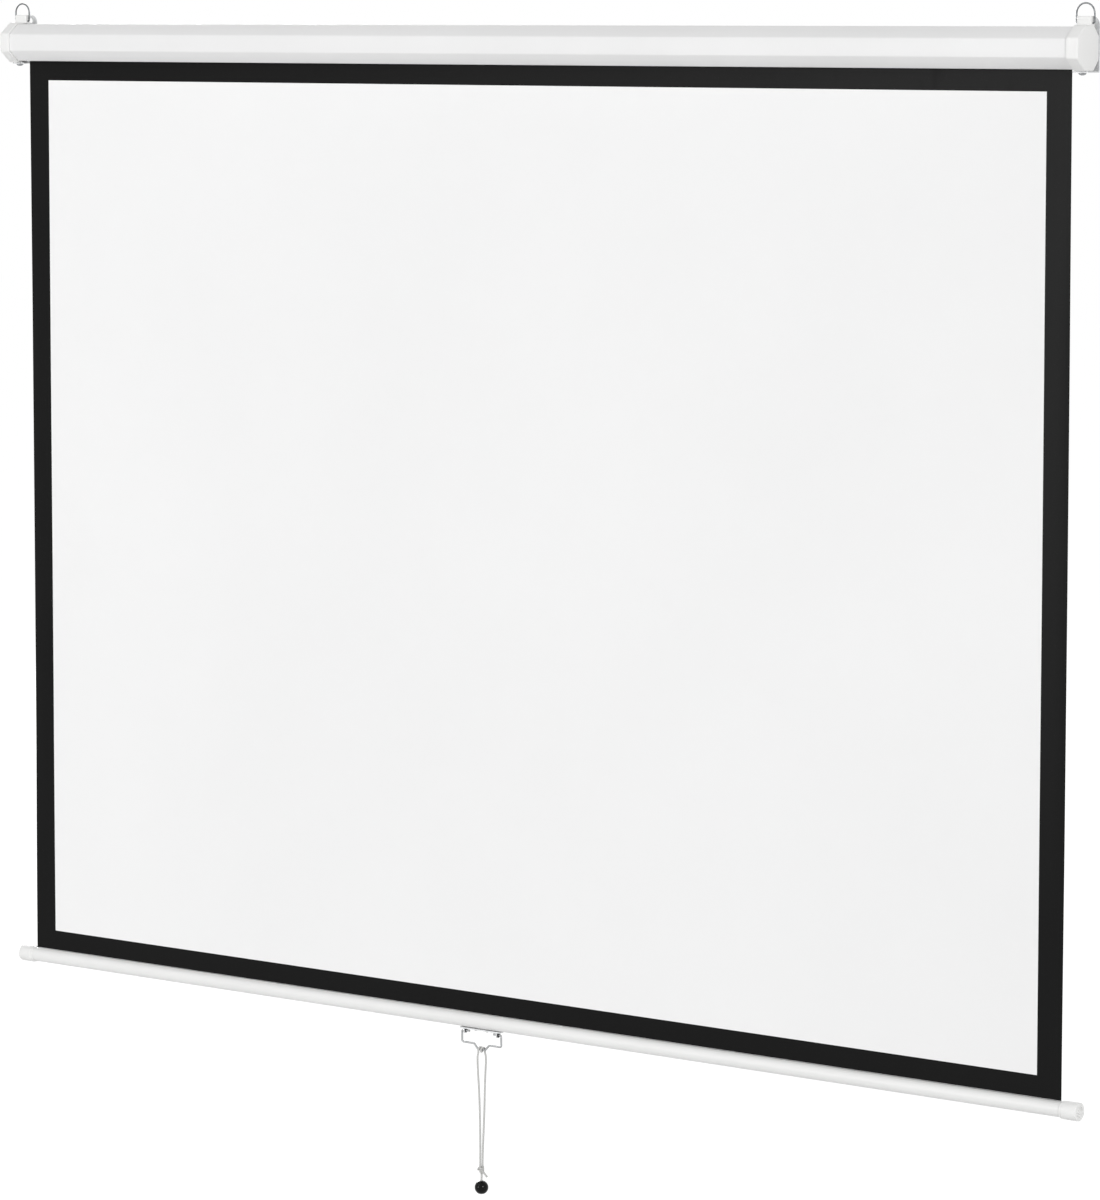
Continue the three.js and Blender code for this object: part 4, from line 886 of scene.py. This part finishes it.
def make_screw(name, node_name, body, seat, head, height, shank, length):
    """A domed cross head that faces down from its seat, and its threaded shank above"""
    pitch, thread_gap, root_share, tip_share = 0.8, 0.6, 0.82, 0.8
    dome_share, arm_share, arm_width_share, arm_depth_share = 0.8, 0.52, 0.11, 0.45
    x, y, z = seat
    profile = [(z - height + a, r) for a, r in dome(head, height * dome_share, 6)]
    profile += [(z, head), (z, shank)]
    turn = z + thread_gap
    while turn + pitch < z + length - shank:
        profile += [(turn, shank * root_share), (turn + pitch / 2, shank)]
        turn += pitch
    profile += [(z + length - shank * tip_share, shank * tip_share), (z + length, 0)]
    screw = lathe(profile, (x, y, 0), 'Z', 32)
    arm, arm_half = head * arm_share, head * arm_width_share
    low, deep = z - height - 1, z - height + height * arm_depth_share
    drill(screw, *[block((x - a, y - b, low), (x + a, y + b, deep))
                   for a, b in ((arm, arm_half), (arm_half, arm))])
    soften(screw, 0.12, steps=1, above=50)
    done(screw, name, body, screw_metal, [node_name])


def make_ring(end, side):
    """The hanging ring: a D of bright wire whose ends meet inside the block"""
    half, corner, half_split, steps = 15.7, 3, 0.15, 32
    upright = RING_HIGH[2] - RING_Z - RING_WIRE - half
    route = rounded_route([(half_split, 0, 0), (half, 0, 0), (half, 0, upright)], [corner], 6)
    route += [Vector((half * math.cos(a), 0, upright + half * math.sin(a)))
              for a in (math.pi * k / steps for k in range(1, steps + 1))]
    route += rounded_route([(-half, 0, upright), (-half, 0, 0), (-half_split, 0, 0)], [corner], 6)[1:]
    ring = wire([p + Vector((side * HOOK_X, HOOK_Y, RING_Z)) for p in route], RING_WIRE)
    done(ring, 'Hanging_ring_' + end, 'ring_' + end, chrome, ['hanging_ring_' + end])


make_casing()
for end, side in (('left', -1), ('right', 1)):
    make_end_cap(end, side)
    make_wall_plate(end, side)
    make_screw('Cap_screw_' + end, 'cap_screw_' + end, 'housing',
               (side * HOOK_X, CAP_SCREW_Y, PLATE_LOW[2] - GAP), head=6, height=4, shank=2, length=9.3)
    make_ring(end, side)


# The sheet

CLOTH_THICKNESS = 0.4


def rise(value, start, over):
    """0 up to the start, then evenly up to 1 over the next stretch"""
    return min(1, max(0, (value - start) / over))


def hang(x, z):
    """How far the cloth stands behind its plane: its sides curl back, and a faint wave runs across"""
    free = rise(-z, 60, over=400) * rise(z, -1540, over=300)
    edge = max(0, (abs(x) - 1030) / 30)
    curl, wave = 1.6 * edge * edge, 0.5 * math.sin(x / 190 + z / 700) * math.cos(z / 260)
    return (curl + wave) * free


def lay_cloth(name, rows, columns, body, stands_for=()):
    """A thin sheet in the XZ plane, cut along given rows and columns, black where the border is printed"""
    take_nothing()
    bpy.ops.mesh.primitive_plane_add(size=1, location=(0, SHEET_Y * MM, (rows[0] + rows[-1]) / 2 * MM),
                                     rotation=(math.pi / 2, 0, 0))
    cloth = bpy.context.object
    cloth.scale = (2 * SHEET_HALF * MM, (rows[0] - rows[-1]) * MM, 1)
    bpy.ops.object.transform_apply(location=True, rotation=True, scale=True)
    for z in rows[1:-1]:
        slice_off(cloth, (0, 0, z), (0, 0, 1), keep=True)
    for x in columns:
        slice_off(cloth, (x, 0, 0), (1, 0, 0), keep=True)
    bpy.ops.object.mode_set(mode='OBJECT')
    if body == 'housing':
        for point in cloth.data.vertices:
            point.co.y += hang(point.co.x / MM, point.co.z / MM) * MM
    give_thickness(cloth, CLOTH_THICKNESS, 0)
    for finish in (picture_white, border_black, back_black):
        cloth.data.materials.append(finish)
    white, border, back = range(3)
    faces_front = -0.3
    for face in cloth.data.polygons:
        x, z = abs(face.center.x) / MM, face.center.z / MM
        in_view = x <= VIEW_HALF and VIEW_BOTTOM <= z <= VIEW_TOP
        front = white if in_view else border
        face.material_index = front if face.normal.y < faces_front else back
    return done(cloth, name, body, None, stands_for, smooth=45)


def lay_strip(route, half):
    """A strip along X whose section follows a route of (y, z) points"""
    rows = len(route) - 1
    take_nothing()
    bpy.ops.mesh.primitive_grid_add(x_subdivisions=2, y_subdivisions=rows, size=1)
    strip = bpy.context.object
    for point in strip.data.vertices:
        y, z = route[round((point.co.y + 0.5) * rows)]
        point.co = Vector((2 * half * point.co.x, y, z)) * MM
    return strip, sum(math.dist(a, b) for a, b in zip(route, route[1:]))


def make_roll():
    """The turns that stay on the roller: one strip, wound on itself from the roller outwards"""
    turns, steps, first, last, thickness = 2.1, 150, 14.2, 14.82, 0.26
    route = []
    for k in range(steps + 1):
        share = k / steps
        angle = 2 * math.pi * turns * (1 - share)
        reach = first + (last - first) * share
        route.append((ROLLER_Y + reach * math.cos(angle), reach * math.sin(angle)))
    roll, length = lay_strip(route, SHEET_HALF)
    give_thickness(roll, thickness, 0)
    done(roll, 'Sheet_roll', 'roller', back_black, ['fabric_wraps'], smooth=45)


def make_hem():
    """The foot of the sheet, turned round a plastic bead and welded: what the bar's slot holds"""
    half, bead_radius, bead_rounding = HEM_HIGH[0], 2.5, 0.6
    bead_z, reach, weld, steps = HEM_LOW[2] + 3, 2.75, 0.24, 28
    neck = math.radians(10)
    top = SHEET_BOTTOM - 0.4
    loop = [(SHEET_Y - weld, top)]
    loop += [(SHEET_Y - reach * math.sin(a), bead_z + reach * math.cos(a))
             for a in (neck + (2 * math.pi - 2 * neck) * k / steps for k in range(steps + 1))]
    loop += [(SHEET_Y + weld, top)]
    hem, length = lay_strip(loop, half)
    give_thickness(hem, CLOTH_THICKNESS, 0)
    done(hem, 'Sheet_hem', 'bar', back_black, ['hem_keder'], smooth=45)
    bead = rod(bead_radius, (-half, SHEET_Y, bead_z), 2 * half, 'X', 20)
    round_edges(bead, bead_rounding, 3, lambda middle, run: abs(middle.x) > half - NEAR)
    done(bead, 'Hem_bead', 'bar', moulding)


def make_sheet():
    """The picture sheet, which hangs from the casing, and its lower band, which rides on the bar"""
    row_step, column_step = 40.1, 50.8
    rows = [SHEET_HIGH[2], -20, -45, VIEW_TOP, *(VIEW_TOP - row_step * k for k in range(1, 38)), VIEW_BOTTOM]
    columns = [-VIEW_HALF + column_step * k for k in range(41)]
    columns += [side * x for side in (-1, 1) for x in (1024, 1032, 1038, 1044, 1049, 1053, 1057)]
    sheet = lay_cloth('Screen_sheet', rows, columns, 'housing',
                      ['screen_sheet', 'black_border'])
    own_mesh(sheet)
    band_rows = [VIEW_BOTTOM, -1608, SHEET_BOTTOM + 0.1]
    band = lay_cloth('Lower_band', band_rows, [-VIEW_HALF, VIEW_HALF, 0], 'bar')


make_roll()
make_hem()
make_sheet()


# The weight bar

STRIP_TOP, STRIP_THICKNESS, STRIP_SCREW_X = STRIP_HIGH[2], 2.0, 12.0
STRIP_BOTTOM = STRIP_TOP - STRIP_THICKNESS


def make_bar():
    """A painted tube with a slot along its top for the bead of the sheet"""
    wall, slot_half = 1.5, 1.0
    take_nothing()
    bpy.ops.mesh.primitive_cylinder_add(vertices=64, radius=BAR_RADIUS * MM, depth=2 * BAR_HIGH[0] * MM,
                                        end_fill_type='NOTHING', location=(0, SHEET_Y * MM, BAR_Z * MM),
                                        rotation=(0, math.pi / 2, 0))
    bar = bpy.context.object
    bpy.ops.object.transform_apply(location=True, rotation=True, scale=True)
    pick(bar, 'FACE', lambda middle, facing: facing.z > STRAIGHT)
    for y in (SHEET_Y - slot_half, SHEET_Y + slot_half):
        bpy.ops.mesh.bisect(plane_co=(0, y * MM, 0), plane_no=(0, 1, 0), use_fill=False)
    pick(bar, 'FACE', lambda middle, facing: facing.z > STRAIGHT
         and abs(middle.y - SHEET_Y) < slot_half - NEAR)
    bpy.ops.mesh.delete(type='FACE')
    give_thickness(bar, wall)
    done(bar, 'Weight_bar', 'bar', bar_paint, ['weight_bar'], smooth=40)


def make_bar_cap(end, side):
    """A turned cap: collar, groove, barrel, rounded rim, and rings round a button in the sunk face"""
    tip, mouth, tube_end = BAR_CAP_HIGH[0], BAR_CAP_LOW[0], BAR_HIGH[0] + GAP
    radius, bore, body = (BAR_CAP_HIGH[2] - BAR_CAP_LOW[2]) / 2, BAR_RADIUS + GAP, 27
    collar, groove, chamfer, rounding, steps = 13.9, 13.5, 0.4, 1.9, 5
    barrel = tip - body
    profile = [(tube_end, 0), (tube_end, bore), (mouth, bore), (mouth, 13.1), (mouth + 0.3, 13.4)]
    profile += [(barrel - back, r) for back, r in ((3.4, collar), (1.5, collar), (1.2, 13.7), (1.2, groove))]
    profile += [(barrel, groove), (barrel, radius - chamfer), (barrel + chamfer, radius)]
    profile += [(tip - rounding + rounding * math.sin(a), radius - rounding + rounding * math.cos(a))
                for a in (math.pi / 2 * k / steps for k in range(steps + 1))]
    profile += [(tip - deep, r) for deep, r in (
        (0, 9.0), (0.3, 8.6), (2.4, 8.3), (2.4, 7.2), (1.2, 7), (1.2, 6), (2.4, 5.8), (2.4, 3.9), (0.8, 3.6),
        (0.5, 3.2), (0.5, 0))]
    cap = lathe([(side * a, r) for a, r in profile], (0, SHEET_Y, BAR_Z), 'X', 56)
    done(cap, 'Bar_cap_' + end, 'bar', moulding, ['bar_cap_' + end], smooth=28)


def make_bracket():
    """A plated strip below the bar with two rounded ears for the handle"""
    corner, screw_hole, edge, overrun = 3, 1.8, 0.3, 2.5
    strip = block((STRIP_LOW[0], STRIP_LOW[1], STRIP_BOTTOM), (STRIP_HIGH[0], STRIP_HIGH[1], STRIP_TOP))
    round_edges(strip, corner, 5, lambda middle, run: abs(run.z) > NEAR)
    through = STRIP_THICKNESS + 2 * overrun
    drill(strip, *[rod(screw_hole, (HANDLE_X + x, SHEET_Y, STRIP_BOTTOM - overrun), through, 'Z', 20)
                   for x in (-STRIP_SCREW_X, STRIP_SCREW_X)])
    half_width, ear_out, ear_thickness, ear_rounding, bush_hole = 5, 35, 2, 4.9, 3.3
    ears = []
    for side in (-1, 1):
        outer = HANDLE_X + side * ear_out
        ear = block((outer - side * ear_thickness, SHEET_Y - half_width, PIVOT_Z - half_width),
                    (outer, SHEET_Y + half_width, STRIP_TOP - STRIP_THICKNESS / 2))
        round_edges(ear, ear_rounding, 8, lambda middle, run: middle.z < PIVOT_Z - half_width + NEAR
                    and abs(run.x) > NEAR)
        ears.append(drill(ear, rod(bush_hole, (outer - 6, SHEET_Y, PIVOT_Z), 12, 'X', 28)))
    bracket = together(strip, *ears)
    soften(bracket, edge)
    done(bracket, 'Handle_bracket', 'bar', zinc, ['handle_bracket'])


def make_pivot_bush(end, side):
    """A black bush in an ear, with a flange on the ear's outer side"""
    back, face, tip, bore, neck, flange, chamfer = 32.7, 35.3, 36.3, 2.1, 3, 4, 0.2
    profile = [(back, bore), (back, neck), (face, neck), (face, flange - chamfer), (face + chamfer, flange),
               (tip - chamfer, flange), (tip, flange - chamfer), (tip, bore), (back, bore)]
    bush = lathe([(side * a, r) for a, r in profile], (HANDLE_X, SHEET_Y, PIVOT_Z), 'X', 32)
    done(bush, 'Pivot_bush_' + end, 'bar', nylon, ['pivot_bush_' + end])


def make_handle():
    """The pull: one bent wire, hung by its tails and drawn in to a throat for the cord"""
    side, tail, leg, shoulder, throat = 41, 16, 20, 16, 7.6
    bend, shoulder_bend, throat_bend = 3, 4, 2.4
    half = [(side - tail, 0, 0), (side, 0, 0), (side, 0, -leg), (shoulder, 0, -leg),
            (throat, 0, -HANDLE_DROP)]
    bends = [bend, bend, shoulder_bend, throat_bend]
    corners = [(-x, y, z) for x, y, z in half] + half[::-1]
    route = rounded_route(corners, bends + bends[::-1])
    handle = wire([p + Vector((HANDLE_X, SHEET_Y, PIVOT_Z)) for p in route], HANDLE_WIRE, 16)
    done(handle, 'Pull_handle', 'handle', wire_plate, ['pull_handle'], smooth=50)


make_bar()
for end, side in (('left', -1), ('right', 1)):
    make_bar_cap(end, side)
    make_pivot_bush(end, side)
make_bracket()
for end, node_name, side in (('left', 'strip_screw_1', -1), ('right', 'strip_screw_2', 1)):
    make_screw('Strip_screw_' + end, node_name, 'bar',
               (HANDLE_X + side * STRIP_SCREW_X, SHEET_Y, STRIP_BOTTOM - GAP),
               head=3.5, height=2.2, shank=1.5, length=7)
make_handle()


# Floor, light and background

FLOOR_Z, FLOOR_SIZE = -2.6, 60  # metres
ROOM_LIGHT = 0.38


def background_rays(tree):
    """1 for the rays that show the background: from the camera, off gloss and through glass"""
    ray = node(tree, 'ShaderNodeLightPath').outputs
    shown = ray['Is Camera Ray']
    for other in ('Is Glossy Ray', 'Is Transmission Ray'):
        shown = node(tree, 'ShaderNodeMath', {0: shown, 1: ray[other]}, operation='MAXIMUM').outputs[0]
    return shown


def cleared_tree(owner):
    owner.use_nodes = True
    owner.node_tree.nodes.clear()
    return owner.node_tree


def make_floor():
    """A pale floor below the hanging screen. To the camera it glows nearly white, and what the lamps add
    on a dim coat makes it white, so that a shadow still shows"""
    take_nothing()
    bpy.ops.mesh.primitive_plane_add(size=FLOOR_SIZE, location=(0, 0, FLOOR_Z))
    floor = bpy.context.object
    floor.name = 'Floor'
    finish = bpy.data.materials.new('Floor, pale')
    tree = cleared_tree(finish)
    matt = node(tree, 'ShaderNodeBsdfDiffuse', {'Color': shade('e6e6e6')})
    coat = node(tree, 'ShaderNodeBsdfDiffuse', {'Color': (0.18, 0.18, 0.18, 1)})
    glow = node(tree, 'ShaderNodeEmission', {'Color': (1, 1, 1, 1), 'Strength': 0.93})
    lit = node(tree, 'ShaderNodeAddShader', {0: coat.outputs[0], 1: glow.outputs[0]})
    shown = background_rays(tree)
    both = node(tree, 'ShaderNodeMixShader', {0: shown, 1: matt.outputs[0], 2: lit.outputs[0]})
    node(tree, 'ShaderNodeOutputMaterial', {'Surface': both.outputs[0]})
    floor.data.materials.append(finish)


def make_world():
    """Even light from all round, and plain white where the background shows"""
    world = bpy.data.worlds.new('Studio')
    bpy.context.scene.world = world
    tree = cleared_tree(world)
    room = node(tree, 'ShaderNodeBackground', {'Color': (1, 1, 1, 1), 'Strength': ROOM_LIGHT})
    white = node(tree, 'ShaderNodeBackground', {'Color': (1, 1, 1, 1), 'Strength': 1.0})
    shown = background_rays(tree)
    both = node(tree, 'ShaderNodeMixShader', {0: shown, 1: room.outputs[0], 2: white.outputs[0]})
    node(tree, 'ShaderNodeOutputWorld', {'Surface': both.outputs[0]})


def make_softbox(name, place, aim, size, power):
    """A lamp's place and aim are in metres, its power in watts"""
    lamp = bpy.data.lights.new(name, 'AREA')
    lamp.shape, lamp.energy = 'RECTANGLE', power
    lamp.size, lamp.size_y = size
    stand = bpy.data.objects.new(name, lamp)
    bpy.context.scene.collection.objects.link(stand)
    stand.location = place
    stand.rotation_euler = (Vector(aim) - Vector(place)).to_track_quat('-Z', 'Y').to_euler()


make_floor()
make_world()
make_softbox('Front softbox', (-3.0, -7.6, -0.2), aim=(0.6, 0, -0.6), size=(2.2, 3.2), power=160.0)
make_softbox('High softbox', (-3.0, -6.5, 4.5), aim=(0.4, 0, -0.9), size=(2.6, 2.6), power=84.0)
make_softbox('Side softbox', (16.5, -8.6, 5.5), aim=(0, 0, -0.8), size=(6.0, 6.0), power=1640.0)
make_softbox('Back softbox', (-9.0, 8.0, 1.8), aim=(0, 0, -0.8), size=(4.0, 4.0), power=850.0)
bpy.context.scene.view_settings.view_transform = 'Standard'
